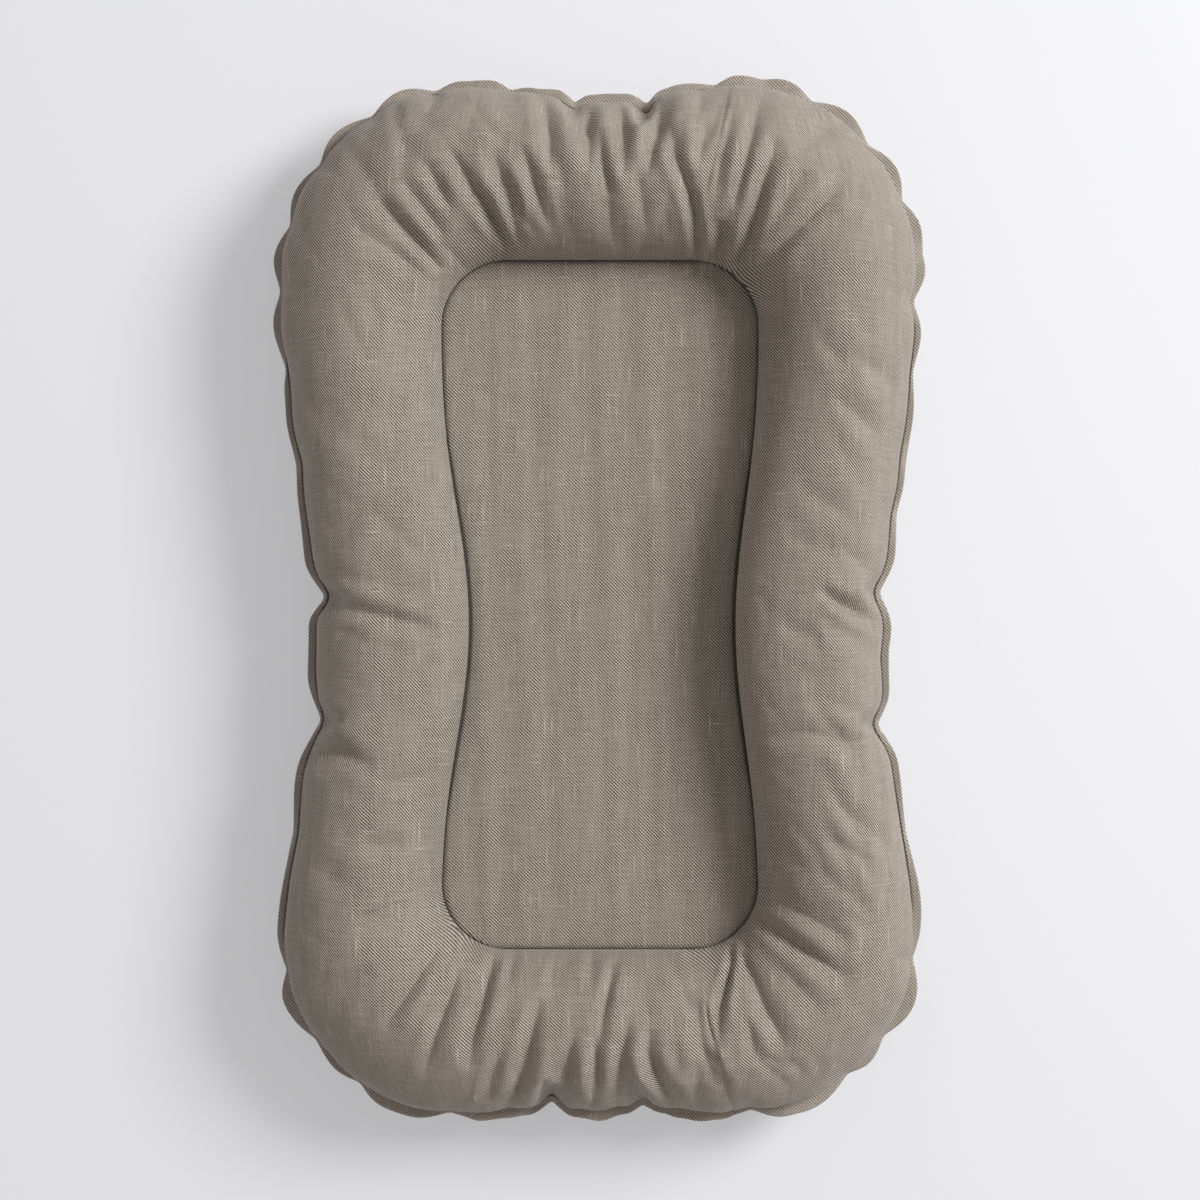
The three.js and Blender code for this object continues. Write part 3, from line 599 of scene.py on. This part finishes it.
def cover_twill(name, dark, light, streaks, checks):
    material, tree, shader = start_material(name, {
        "Roughness": 0.88, "Specular IOR Level": 0.25, "Sheen Weight": 0.15,
        "Sheen Roughness": 0.5})
    uv = add_node(tree, "UVMap", uv_map="weave")
    flat = add_node(tree, "Mapping", {"Vector": uv, "Scale": (1 / MM, 1 / MM, 1 / MM)})
    turned = add_node(tree, "Mapping", {"Vector": flat, "Rotation": (0, 0, math.pi / 2)})
    ribs = add_node(tree, "TexWave", {
        "Vector": flat, "Scale": WAVE_PERIOD / RIB_SPACING, "Distortion": 0.8, "Detail": 2.0,
        "Detail Scale": 2.2}, bands_direction="DIAGONAL")
    floats = add_node(tree, "TexWave", {
        "Vector": turned, "Scale": WAVE_PERIOD / FLOAT_LENGTH, "Distortion": 3.0, "Detail": 2.0,
        "Detail Scale": 1.5}, bands_direction="DIAGONAL")
    blend = add_node(tree, "Mix", {"Factor": checks, 2: ribs, 3: floats})
    weave = add_node(tree, "MapRange", {"Value": blend, "From Min": 0.3, "From Max": 0.7})
    worn = add_node(tree, "TexNoise", {"Vector": flat, "Scale": 1 / WORN_PATCH, "Detail": 1.5})
    worn_share = add_node(tree, "MapRange", {
        "Value": worn, "From Min": 0.38, "From Max": 0.66, "To Max": 0.5})
    rib_tone = add_node(tree, "Mix", {"Factor": worn_share, 2: weave, 3: 0.5})
    yarns = add_node(tree, "Math", {
        0: yarn_noise(tree, flat, ALONG, 0.8, 2.0), 1: yarn_noise(tree, flat, ACROSS, 0.8, 2.0)},
        operation="ADD")
    yarn_tone = add_node(tree, "MapRange", {
        "Value": yarns, "From Min": 0.7, "From Max": 1.3, "To Min": -0.1, "To Max": 0.1})
    mixed = add_node(tree, "Math", {0: rib_tone, 1: yarn_tone}, operation="ADD", use_clamp=True)
    cloth = add_node(tree, "Mix", {
        "Factor": mixed, 6: linear(dark), 7: linear(light)}, data_type="RGBA")
    slub = add_node(tree, "MapRange", {
        "Value": yarn_noise(tree, flat, (0.06, 1, 1), 0.9, 0.0), "From Min": 0.79,
        "From Max": 0.84, "To Max": 0.55})
    long_slub = add_node(tree, "MapRange", {
        "Value": yarn_noise(tree, flat, ALONG, 0.8, 0.0), "From Min": 0.78, "From Max": 0.83,
        "To Max": 0.5})
    slubs = add_node(tree, "Math", {0: slub, 1: long_slub}, operation="MAXIMUM")
    slubbed = add_node(tree, "Mix", {
        "Factor": slubs, 6: cloth.outputs[2], 7: linear("CFC7BB")}, data_type="RGBA")
    band_tone = add_node(tree, "MapRange", {
        "Value": yarn_noise(tree, flat, (1, 0.04, 1), 0.09, 1.5), "From Min": 0.3, "From Max": 0.7,
        "To Min": 1 - streaks, "To Max": 1 + streaks})
    # Painted shade: seam_shade darkens the cloth's colour near seams and under the leaning bolster,
    # down to a fifth at full strength.
    seam = add_node(tree, "Attribute", attribute_name="seam_shade")
    painted_shade_tone = add_node(tree, "MapRange", {"Value": seam, "To Min": 1.0, "To Max": 0.2})
    tone = add_node(tree, "Math", {0: band_tone, 1: painted_shade_tone}, operation="MULTIPLY")
    coloured = add_node(tree, "Mix", {
        "Factor": 1.0, 6: slubbed.outputs[2], 7: tone}, data_type="RGBA", blend_type="MULTIPLY")
    bump = add_node(tree, "Bump", {"Height": mixed, "Strength": 0.6, "Distance": 0.35 * MM})
    tree.links.new(coloured.outputs[2], shader.inputs["Base Color"])
    tree.links.new(bump.outputs[0], shader.inputs["Normal"])
    return material


ring_twill = cover_twill("taupe_linen_look_twill", "3A332C", "CBC1B5", 0.05, 0.22)
panel_twill = cover_twill("taupe_linen_look_twill_stretched", "4A443C", "C9BFB3", 0.07, 0.28)
# Painted light: the flange is the cover's own cloth, drawn lighter than the ring to stand in for
# the extra light that falls on it.
lightened_flange_twill = cover_twill("taupe_linen_look_twill_edge_painted_lighter", "766D64", "CDC3B8", 0.04, 0.3)
print("twill ribs:", RIB_SPACING, "mm apart")

# %% [markdown]
# ## From a grid to a mesh
# A grid of points becomes a sheet of quads, and then gets the cloth's thickness. The weave runs in
# a UV map of its own, laid out in metres as if the cloth were pulled flat. A second value marks how
# near a point is to a seam, and the cloth is drawn darker there: painted shade of the seam's
# crevice.

# %% Mesh from a grid
def mesh_piece(name, points, faces):
    """A smooth mesh, from points in millimetres."""
    mesh = bpy.data.meshes.new(name)
    mesh.from_pydata((points.reshape(-1, 3) * MM).tolist(), [], faces)
    mesh.polygons.foreach_set("use_smooth", np.ones(len(mesh.polygons), dtype=bool))
    piece = bpy.data.objects.new(name, mesh)
    bpy.context.scene.collection.objects.link(piece)
    return piece


def select_only(*pieces):
    bpy.ops.object.select_all(action="DESELECT")
    for piece in pieces:
        piece.select_set(True)
    bpy.context.view_layer.objects.active = pieces[0]


def cloth_piece(name, points, thickness, finish, weave=None, shade=None, ring=True, turned=False):
    """A sheet over a grid of points: its weave lies flat and its painted shade is none, unless
    given.
    """
    weave = points[..., :2] if weave is None else weave
    shade = np.zeros(points.shape[:2]) if shade is None else shade
    index = np.arange(shade.size).reshape(shade.shape)
    here = index if ring else index[:-1]
    there = np.roll(index, -1, axis=0) if ring else index[1:]
    quads = np.stack([here[:, :-1], here[:, 1:], there[:, 1:], there[:, :-1]], axis=-1)
    quads = quads.reshape(-1, 4)
    piece = mesh_piece(name, points, (quads[:, ::-1] if turned else quads).tolist())
    mesh = piece.data
    corners = np.empty(len(mesh.loops), dtype=np.int32)
    mesh.loops.foreach_get("vertex_index", corners)
    layer = mesh.uv_layers.new(name="weave")
    layer.data.foreach_set("uv", (weave.reshape(-1, 2) * MM)[corners].ravel())
    mark = mesh.attributes.new("seam_shade", "FLOAT", "POINT")
    mark.data.foreach_set("value", shade.reshape(-1).astype(np.float32))
    mesh.validate()
    mesh.materials.append(finish)
    select_only(piece)
    solidify = piece.modifiers.new("thickness", "SOLIDIFY")
    solidify.thickness = thickness * MM
    solidify.offset = -1
    bpy.ops.object.modifier_apply(modifier=solidify.name)
    print(name, len(mesh.polygons), "faces")
    return piece


def run_along(points):
    """Millimetres from the start to each point of a path, or across each station of a grid."""
    step = np.linalg.norm(np.diff(points, axis=-2), axis=-1)
    return np.insert(np.cumsum(step, axis=-1), 0, 0, axis=-1)


# Painted shade: the cloth of a grid is drawn darker close to its outer seam, fading over
# SHADE_REACH millimetres.
def outer_shade(points):
    return fade_out(run_along(points[:, ::-1])[:, ::-1], SHADE_REACH)


# %% [markdown]
# The ring's weave is laid out from its crown, so that it keeps its scale down the outer wall. On
# the inner wall it does so less, and at the corners not at all, or its ribs would fan out there.

# %% Gathered ring
COVER_THICKNESS = 1.2
SHADE_REACH = 1.6
NEST_SHADE = 0.7
NEST_SHADE_REACH = 0.9
WEAVE_FOLLOW = 0.8
INNER_HOLD = 0.3
corner_share = np.clip(1 - np.abs(np.mod(hours, 3) - 1.5), 0, 1)
inner_hold = INNER_HOLD * (1 - smoothstep(corner_share, 0, 1))
half_way = np.linspace(-1, 1, TOP_ROWS)[None, :]
drop = (top_crown[:, None] - smooth_top[..., 2]) * np.where(half_way > 0, 1, -inner_hold[:, None])
top_plan = smooth_top[..., :2] + WEAVE_FOLLOW * (gathered_top - smooth_top)[..., :2]
top_weave = top_plan + direction[:, None, :] * drop[..., None]
# Painted shade: the ring's cloth is drawn darker along the nest seam and along the outer seam.
top_shade = NEST_SHADE * fade_out(run_along(gathered_top), NEST_SHADE_REACH)
top_shade += outer_shade(gathered_top)
gathered_ring = cloth_piece("gathered_ring", gathered_top, COVER_THICKNESS, ring_twill,
                            top_weave, top_shade, turned=True)

# %% [markdown]
# ## Nest panel
# The flat panel is sewn in along the inner seam and stretched over the sling. It sags a little in
# its middle, shows long soft ripples along its length, and turns down into the seam at its edge.

# %% Nest panel
NEST_SAG = 5
PANEL_COLUMNS = 121
PANEL_ROWS = 281
SIDE_POINTS = 2700
EDGE_ROLL = 1.6
EDGE_ROLL_REACH = 1.8
RIPPLE = 0.4
RIPPLE_SIZE = 5.1
RIPPLE_BEND = 1.3
RIPPLE_BEND_SIZE = 96
FINE_RIPPLE = 0.12
FINE_RIPPLE_SIZE = 2.9
FINE_RIPPLE_SLANT = 70
RIPPLES_FROM_EDGE = (4, 40)
EVEN_ROWS = 0.55
PANEL_GAP = 0.3
LINE_SHADE_UNDER = 0.25
LINE_REACH_UNDER = 0.4
SOFT_SHADE = 0.1
SOFT_SHADE_UNDER = 0.2
SOFT_SHADE_REACH = 7
UNDER_BOLSTER = (0.3, 3)


def panel_half_width(places):
    """Half width of the nest at each place along its length, from the seam's right side."""
    x, y = seam_point(NEST_SEAM, np.linspace(5, 1, SIDE_POINTS)).T
    return np.interp(places, y, x)


def nest_grid(edge_gap, height):
    """Points over the nest, closer together near its edge, and each one's distance to it."""
    foot, head = -NEST_SEAM["foot"] + edge_gap, NEST_SEAM["head"] - edge_gap
    even = np.linspace(0, 1, PANEL_ROWS)
    eased = (1 - np.cos(np.linspace(0, np.pi, PANEL_ROWS))) / 2
    places = foot + (head - foot) * (EVEN_ROWS * even + (1 - EVEN_ROWS) * eased)
    half = panel_half_width(places) - edge_gap
    side = np.linspace(-1, 1, PANEL_COLUMNS)
    side = (np.sin(np.pi / 2 * side) + side) / 2
    x = half[:, None] * side[None, :]
    y = np.repeat(places[:, None], PANEL_COLUMNS, axis=1)
    edge = np.minimum(np.minimum(y - foot, head - y), half[:, None] - np.abs(x))
    bowl = (1 - (x / half[:, None]) ** 2) * (1 - (2 * (y - foot) / (head - foot) - 1) ** 2)
    ripple = RIPPLE * np.sin(x / RIPPLE_SIZE + RIPPLE_BEND * np.sin(y / RIPPLE_BEND_SIZE))
    ripple += FINE_RIPPLE * np.sin(x / FINE_RIPPLE_SIZE + y / FINE_RIPPLE_SLANT)
    ripple *= smoothstep(edge, *RIPPLES_FROM_EDGE)
    z = height - NEST_SAG * bowl + ripple - EDGE_ROLL * fade_out(edge, EDGE_ROLL_REACH)
    return np.stack([x, y, z], axis=2), edge


def overhang_at(places, side):
    """How far the bolster leans in over the nest at each place along its length."""
    lean = -np.minimum((top_share * span[:, None]).min(axis=1), 0)
    beside = (nest_line[:, 0] * side > 0) & (np.abs(np.mod(hours, 6) - 3) < 2)
    order = np.argsort(nest_line[beside, 1])
    return np.interp(places, nest_line[beside, 1][order], lean[beside][order])


panel_points, panel_edge = nest_grid(PANEL_GAP, NEST_HEIGHT)
lean = np.where(panel_points[..., 0] > 0, overhang_at(panel_points[..., 1], 1),
                overhang_at(panel_points[..., 1], -1))
visible = np.maximum(panel_edge - lean, 0)
under = smoothstep(lean, *UNDER_BOLSTER)
# Painted shade on the panel: a thin dark line along the nest seam and a soft darker band beside it,
# both stronger and wider where the bolster leans over the panel.
panel_shade = (NEST_SHADE + LINE_SHADE_UNDER * under) * fade_out(
    visible, NEST_SHADE_REACH + LINE_REACH_UNDER * under)
panel_shade += (SOFT_SHADE + SOFT_SHADE_UNDER * under) * fade_out(visible, SOFT_SHADE_REACH)
nest_panel = cloth_piece("nest_panel", panel_points, COVER_THICKNESS, panel_twill,
                         shade=panel_shade, ring=False, turned=True)

# %% [markdown]
# ## Outer flange
# The seam allowances of the top and the underside stand out of the outer seam as a double strip
# about 7 mm wide. The strip ripples up and down between the gathers.

# %% Outer flange
FLANGE_ROWS = 9
FLANGE_LAYER = 1.0
FLANGE_HALF_GAP = 0.15
FLANGE_ROOT = 0.6
FLANGE_SHADE_REACH = 1.8
NOTCH_DIP = 2.2
CREST_LIFT = 1.4
RIPPLE_CURVE = 1.5


def flange_layer(name, side):
    """One layer of the flange: its side is 1 for the upper, -1 for the lower."""
    root = seam_reach - FLANGE_ROOT
    way = np.linspace(0, 1, FLANGE_ROWS)
    reach = root[:, None] + (rim_reach - root)[:, None] * way
    plan = np.stack([seam_point(OUTER_SEAM, hours, -row) for row in reach.T], axis=1)
    ripple = NOTCH_DIP * (1 - crest_share) - CREST_LIFT * crest_share
    z = OUTER_HEIGHT + side * (FLANGE_HALF_GAP + FLANGE_LAYER)
    z = z - ripple[:, None] * way ** RIPPLE_CURVE
    grid = np.concatenate([plan, z[..., None]], axis=2)
    # Painted shade: the flange is drawn darker at its root, in the groove of the outer seam.
    return cloth_piece(name, grid, FLANGE_LAYER, lightened_flange_twill, turned=side > 0,
                       shade=fade_out(run_along(grid), FLANGE_SHADE_REACH))


flange_upper = flange_layer("flange_upper", 1)
flange_lower = flange_layer("flange_lower", -1)

# %% [markdown]
# ## Underside ring
# The lounger stands on the flat of this ring. It follows the same notches as the top, so that the
# two meet in the outer seam, and its inner edge rises to the base panels.

# %% Underside ring
BASE_SEAM_HEIGHT = 16.5
UNDERSIDE = [(0, 1, 0), (0.1, 0.45, 0), (0.2, 0.1, 0), (0.28, 0, 0), (0.72, 0, 0),
             (0.8, 0, 0.03), (0.88, 0, 0.15), (0.95, 0, 0.4), (0.99, 0, 0.72), (1, 0, 0.98)]
BASE_ROWS = 44
BASE_PUSH = (0.7, 1)
INNER_WEAVE_RISE = -0.5


def base_surface():
    key = np.array(UNDERSIDE)
    key_height = key[:, 1] * BASE_SEAM_HEIGHT + key[:, 2] * OUTER_HEIGHT
    length = run_along(np.column_stack([key[:, 0] * span.mean(), key_height]))
    even = np.linspace(0, length[-1], BASE_ROWS)
    share = np.interp(even, length, key[:, 0])[None, :]
    height = np.interp(even, length, key_height)[None, :]
    reach = span[:, None] * share
    push = seam_reach[:, None] * smoothstep(share, *BASE_PUSH)
    plan = nest_line[:, None, :] + direction[:, None, :] * reach[..., None]
    plan = plan + outward[:, None, :] * push[..., None]
    z = np.broadcast_to(height, reach.shape)
    return np.concatenate([plan, z[..., None]], axis=2), share


base_points, base_share = base_surface()
rise = base_points[..., 2] * np.where(base_share > 0.5, 1, INNER_WEAVE_RISE)
base_weave = base_points[..., :2] + direction[:, None, :] * rise[..., None]
# The underside ring gets the same painted shade at its outer seam.
underside_ring = cloth_piece("underside_ring", base_points, COVER_THICKNESS, ring_twill,
                             base_weave, outer_shade(base_points))

# %% [markdown]
# ## Base centre, in two halves
# Under the nest the cover is two flat panels. They meet in a seam at the middle, and part round the
# zip, where each edge is turned in and stitched down. The opening's size comes from the zip.

# %% Base halves
HALF_JOINT = 0.15
EDGE_GAP = 0.3
OPENING_MARGIN = 1.7
SLIDER_SIDE_GAP = 0.6
HEM_WIDTH = 6
HEM_DROP = 0.35
HEM_SHADE = 0.6
HEM_SHADE_REACH = 1.5
HALF_COLUMNS = 41
HALF_ROWS = 121
CLOSER_AT_HEM = 1.3
CORNER_HALF = 0.2
HEM_STEP = 1.5
slider_low, slider_high = (np.array(corner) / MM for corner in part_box("zip_slider"))
stop_high = np.array(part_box("zip_bottom_stop")[1]) / MM
opening_half = slider_high[0] + SLIDER_SIDE_GAP
opening_foot = slider_low[1] - OPENING_MARGIN
opening_head = stop_high[1] + OPENING_MARGIN


def base_half_grid(side):
    foot, head = -NEST_SEAM["foot"] + EDGE_GAP, NEST_SEAM["head"] - EDGE_GAP
    corners = [end + step for end in (opening_foot, opening_head)
               for step in (-CORNER_HALF, CORNER_HALF)]
    places = foot + (head - foot) * (1 - np.cos(np.linspace(0, np.pi, HALF_ROWS))) / 2
    places = np.sort(np.concatenate([places, corners]))
    inside = smoothstep(places, corners[0], corners[1]) * (1 - smoothstep(places, *corners[2:]))
    inner = HALF_JOINT + (opening_half - HALF_JOINT) * inside
    outer = panel_half_width(places) - EDGE_GAP
    way = np.linspace(0, 1, HALF_COLUMNS) ** CLOSER_AT_HEM
    x = inner[:, None] + (outer - inner)[:, None] * way
    from_hem = x - inner[:, None]
    z = BASE_SEAM_HEIGHT - HEM_DROP * (1 - smoothstep(from_hem, HEM_WIDTH, HEM_WIDTH + HEM_STEP))
    y = np.repeat(places[:, None], HALF_COLUMNS, axis=1)
    return np.stack([side * x, y, z], axis=2), np.minimum(from_hem, outer[:, None] - x)


base_halves = {}
for side, name in ((-1, "base_half_left"), (1, "base_half_right")):
    grid, from_edge = base_half_grid(side)
    # Painted shade: each half is drawn darker along its hem and along its outer edge.
    base_halves[side] = cloth_piece(
        name, grid, COVER_THICKNESS, ring_twill, ring=False, turned=side > 0,
        shade=HEM_SHADE * fade_out(from_edge, HEM_SHADE_REACH))

# %% [markdown]
# ## Stitches
# A sewing machine leaves one short float of thread after another. One stitch is a small spindle of
# thread, thick in the middle and diving into the cloth at both ends; copies of it follow a seam.

# %% Rows of stitches
STITCH_PITCH = 2.9
STITCH_SHARE = 0.8
THREAD_RADIUS = 0.36
SPINDLE = [(-0.5, 0.35), (-0.3, 0.9), (0.0, 1.0), (0.3, 0.9), (0.5, 0.35)]
THREAD_SIDES = 6
OUTER_STITCH_OUT = 1.0
NEST_STITCH_IN = 1.1
NEST_STITCH_DOWN = 0.9
HEM_STITCH_IN = 4.5
HEM_PLACES = 60
# The thread is real, but it is drawn darker than the cloth so that each row of stitches also draws
# the seam's dark line: partly the thread's colour, partly painted shade of the seam's groove and
# needle holes.
darkened_sewing_thread = grained_material(
    "taupe_polyester_thread", {"Roughness": 0.6}, grain=0.4, detail=1.0, dark="2F2924",
    light="5A5149", strength=0.5, depth=0.1)


def spindle_faces():
    """Quads between the rings of one stitch, and a cap at each of its ends."""
    around = range(THREAD_SIDES)
    last = (len(SPINDLE) - 1) * THREAD_SIDES
    faces = [(row + here, row + after, row + THREAD_SIDES + after, row + THREAD_SIDES + here)
             for row in range(0, last, THREAD_SIDES)
             for here, after in zip(around, [*around[1:], 0])]
    return [*faces, tuple(reversed(around)), tuple(last + here for here in around)]


def stitch_row(name, paths):
    """Stitches along each path of points; the thread stands half out of the cloth."""
    rings = []
    turn = np.arange(THREAD_SIDES) * 2 * np.pi / THREAD_SIDES
    half = STITCH_PITCH * STITCH_SHARE / 2
    for path in paths:
        run = run_along(path)
        for number in range(int(run[-1] / STITCH_PITCH)):
            middle = (number + 0.5) * STITCH_PITCH
            first, last = (np.array([np.interp(end, run, axis) for axis in path.T])
                           for end in (middle - half, middle + half))
            along = last - first
            length = np.linalg.norm(along)
            along /= length
            side = np.cross((0, 0, 1), along)
            side /= np.linalg.norm(side)
            ring = np.cos(turn)[:, None] * side + np.sin(turn)[:, None] * np.cross(along, side)
            rings.extend((first + last) / 2 + along * length * share
                         + ring * THREAD_RADIUS * girth for share, girth in SPINDLE)
    points = np.concatenate(rings)
    starts = range(0, len(points), len(SPINDLE) * THREAD_SIDES)
    faces = [[start + corner for corner in face] for start in starts for face in spindle_faces()]
    piece = mesh_piece(name, points, faces)
    piece.data.materials.append(darkened_sewing_thread)
    print(name, len(faces), "faces")
    return piece


def level_path(plan, height):
    return np.column_stack([plan, np.full(len(plan), height)])


outer_stitches = stitch_row("outer_seam_stitches", [
    level_path(seam_point(OUTER_SEAM, hours, -(seam_reach + OUTER_STITCH_OUT)),
               OUTER_HEIGHT + FLANGE_HALF_GAP + FLANGE_LAYER)])
nest_stitches = stitch_row("nest_seam_stitches", [
    level_path(seam_point(NEST_SEAM, hours, NEST_STITCH_IN), NEST_HEIGHT - NEST_STITCH_DOWN)])
hem_places = np.linspace(opening_foot, opening_head, HEM_PLACES)
hem_aside = np.full(HEM_PLACES, opening_half + HEM_STITCH_IN)
hem_stitches = stitch_row("hem_stitches", [
    level_path(np.column_stack([side * hem_aside, hem_places]), BASE_SEAM_HEIGHT - HEM_DROP)
    for side in (-1, 1)])

# %% [markdown]
# ## Liner and stuffing
# Inside the cover lies the real cushion: a white cotton liner filled with polyester fibre. The
# liner follows the cover closely, a little further in, and runs on across the nest as the two
# layers of the sling. It is cut as two skins, sewn together at the outer seam.

# %% Liner and stuffing
LINER_THICKNESS = 0.6
LINER_DEPTH = 3.6
LINER_NEST_GAP = 2.2
LINER_THREAD = 0.9
FILL_DEPTH = 5.4
FIBRE_CLUMP = 8
STATION_STRIDE = 2
ROW_STRIDE = 3
SLING_STRIDE = 4
LAST_TOP_ROW = 73
SLING_TOP = 30.4
SLING_BOTTOM = 29.5


def plain_weave_material():
    """Bleached cotton, about 30 threads to the centimetre, drawn at 0.9 mm."""
    material, tree, shader = start_material("white_plain_weave_cotton", {"Roughness": 0.9})
    uv = add_node(tree, "UVMap", uv_map="weave")
    warp, weft = (add_node(tree, "TexWave", {
        "Vector": uv, "Scale": 2 * math.pi / (20 * LINER_THREAD * MM), "Distortion": 0.6},
        bands_direction=way) for way in ("X", "Y"))
    weave = add_node(tree, "Math", {0: warp, 1: weft}, operation="MULTIPLY")
    colour_and_relief(tree, shader, weave, "D8D5CF", "EFEDE8", strength=0.4, depth=0.15)
    return material


cotton = plain_weave_material()


def top_layer(depth):
    return gathered_surface(depth)[::STATION_STRIDE, :LAST_TOP_ROW:ROW_STRIDE]


def base_layer(depth):
    coarse = base_points[::STATION_STRIDE, :-2]
    return coarse - grid_normals(coarse, -1) * depth


def liner_skin(name, grid, sling_height, turned):
    """One skin of the liner: its ring, joined to its layer of the sling."""
    sling, _ = nest_grid(LINER_NEST_GAP, sling_height)
    skin = cloth_piece(name, grid, LINER_THICKNESS, cotton, turned=turned)
    middle = cloth_piece(name + "_sling", sling[::SLING_STRIDE, ::SLING_STRIDE], LINER_THICKNESS,
                         cotton, ring=False, turned=True)
    select_only(skin, middle)
    bpy.ops.object.join()
    return skin


liner_top_grid = top_layer(LINER_DEPTH)
liner_base_grid = base_layer(LINER_DEPTH)
liner_top = liner_skin("liner_top", liner_top_grid, SLING_TOP, turned=True)
liner_base = liner_skin("liner_base", liner_base_grid, SLING_BOTTOM, turned=False)

fill_grid = np.concatenate([top_layer(FILL_DEPTH), base_layer(FILL_DEPTH)[:, ::-1]], axis=1)
index = np.arange(fill_grid[..., 0].size).reshape(fill_grid.shape[:2])
ahead = np.roll(index, -1, axis=0)
quads = np.stack([index, ahead, np.roll(ahead, -1, axis=1), np.roll(index, -1, axis=1)], axis=-1)
fibre_fill = mesh_piece("fibre_fill", fill_grid, quads.reshape(-1, 4).tolist())
fibre_fill.data.materials.append(grained_material(
    "white_carded_polyester_fibre", {"Roughness": 1.0, "Sheen Weight": 0.4}, grain=FIBRE_CLUMP,
    detail=6.0, dark="D9D8D4", light="F6F5F2", strength=0.8, depth=1.5, distortion=2.0))
print("fibre_fill", len(fibre_fill.data.polygons), "faces")

# %% [markdown]
# ## Zip
# The zip's solids keep their shapes and get their finishes. The tape is woven polyester, dyed to
# match, in a fine herringbone; the teeth and stops are moulded acetal, with a dull gloss; the
# slider and its tab are die-cast zinc, tumbled and lacquered, so it is grey with soft highlights.

# %% Zip finishes
TAPE_RIB = 1.2


def tape_material():
    material, tree, shader = start_material("woven_polyester_tape", {"Roughness": 0.75})
    place = add_node(tree, "TexCoord")
    ribs = add_node(tree, "TexWave", {
        "Vector": place.outputs["Object"], "Scale": WAVE_PERIOD / (TAPE_RIB * MM),
        "Distortion": 0.4}, bands_direction="DIAGONAL")
    colour_and_relief(tree, shader, ribs, "6E665C", "968C80", strength=0.5, depth=0.15)
    return material


def zinc_material():
    """The tumbled grain of the casting shows in its gloss too, in soft patches."""
    material = grained_material("tumbled_die_cast_zinc", {"Metallic": 1.0}, grain=0.8,
                                detail=4.0, dark="8F8D89", light="C9C7C2", strength=0.2,
                                depth=0.05)
    nodes = material.node_tree.nodes
    rough = add_node(material.node_tree, "MapRange", {
        "Value": nodes["Noise Texture"], "To Min": 0.24, "To Max": 0.46})
    material.node_tree.links.new(rough.outputs[0], nodes["Principled BSDF"].inputs["Roughness"])
    return material


acetal = grained_material("moulded_acetal", {"Roughness": 0.38, "IOR": 1.48}, grain=1.5,
                          detail=2.0, dark="7A7065", light="8E8479", strength=0.15, depth=0.05)
for finish, names in (
    (tape_material(), ["zip_tape_left", "zip_tape_right"]),
    (acetal, ["zip_teeth_left", "zip_teeth_right", "zip_top_stop_left", "zip_top_stop_right",
              "zip_bottom_stop"]),
    (zinc_material(), ["zip_slider", "zip_pull_tab"]),
):
    for name in names:
        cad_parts[name].data.materials.clear()
        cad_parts[name].data.materials.append(finish)
    print(finish.name, "on", len(names), "nodes")

# %% [markdown]
# ## What rides on what
# All the cloth belongs to the root body: only the zip's slider and its tab move. Each new piece
# names the solid that it stands for, and each sheet the size it was cut to. The cuts aren't
# rectangles, so their areas are measured on the unstretched grids they were laid out on.


RIDERS = {
    "cover_twill": [
        (gathered_ring, "cover_top_ring"), (nest_panel, "cover_centre_panel"),
        (flange_upper, "outer_seam_flange"), (flange_lower, None),
        (underside_ring, "cover_base_ring"), (base_halves[-1], "cover_base_centre_left"),
        (base_halves[1], "cover_base_centre_right"), (outer_stitches, None),
        (nest_stitches, None), (hem_stitches, None)],
    "liner_cloth": [(liner_top, "liner_top_panel"), (liner_base, "liner_base_panel")],
    "fibre_fill": [(fibre_fill, "bolster_fill")],
}
for slot, riders in RIDERS.items():
    for piece, node in riders:
        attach(piece, "root")
        if node:
            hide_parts(node)

for side, half in base_halves.items():
    grid, _ = base_half_grid(side)
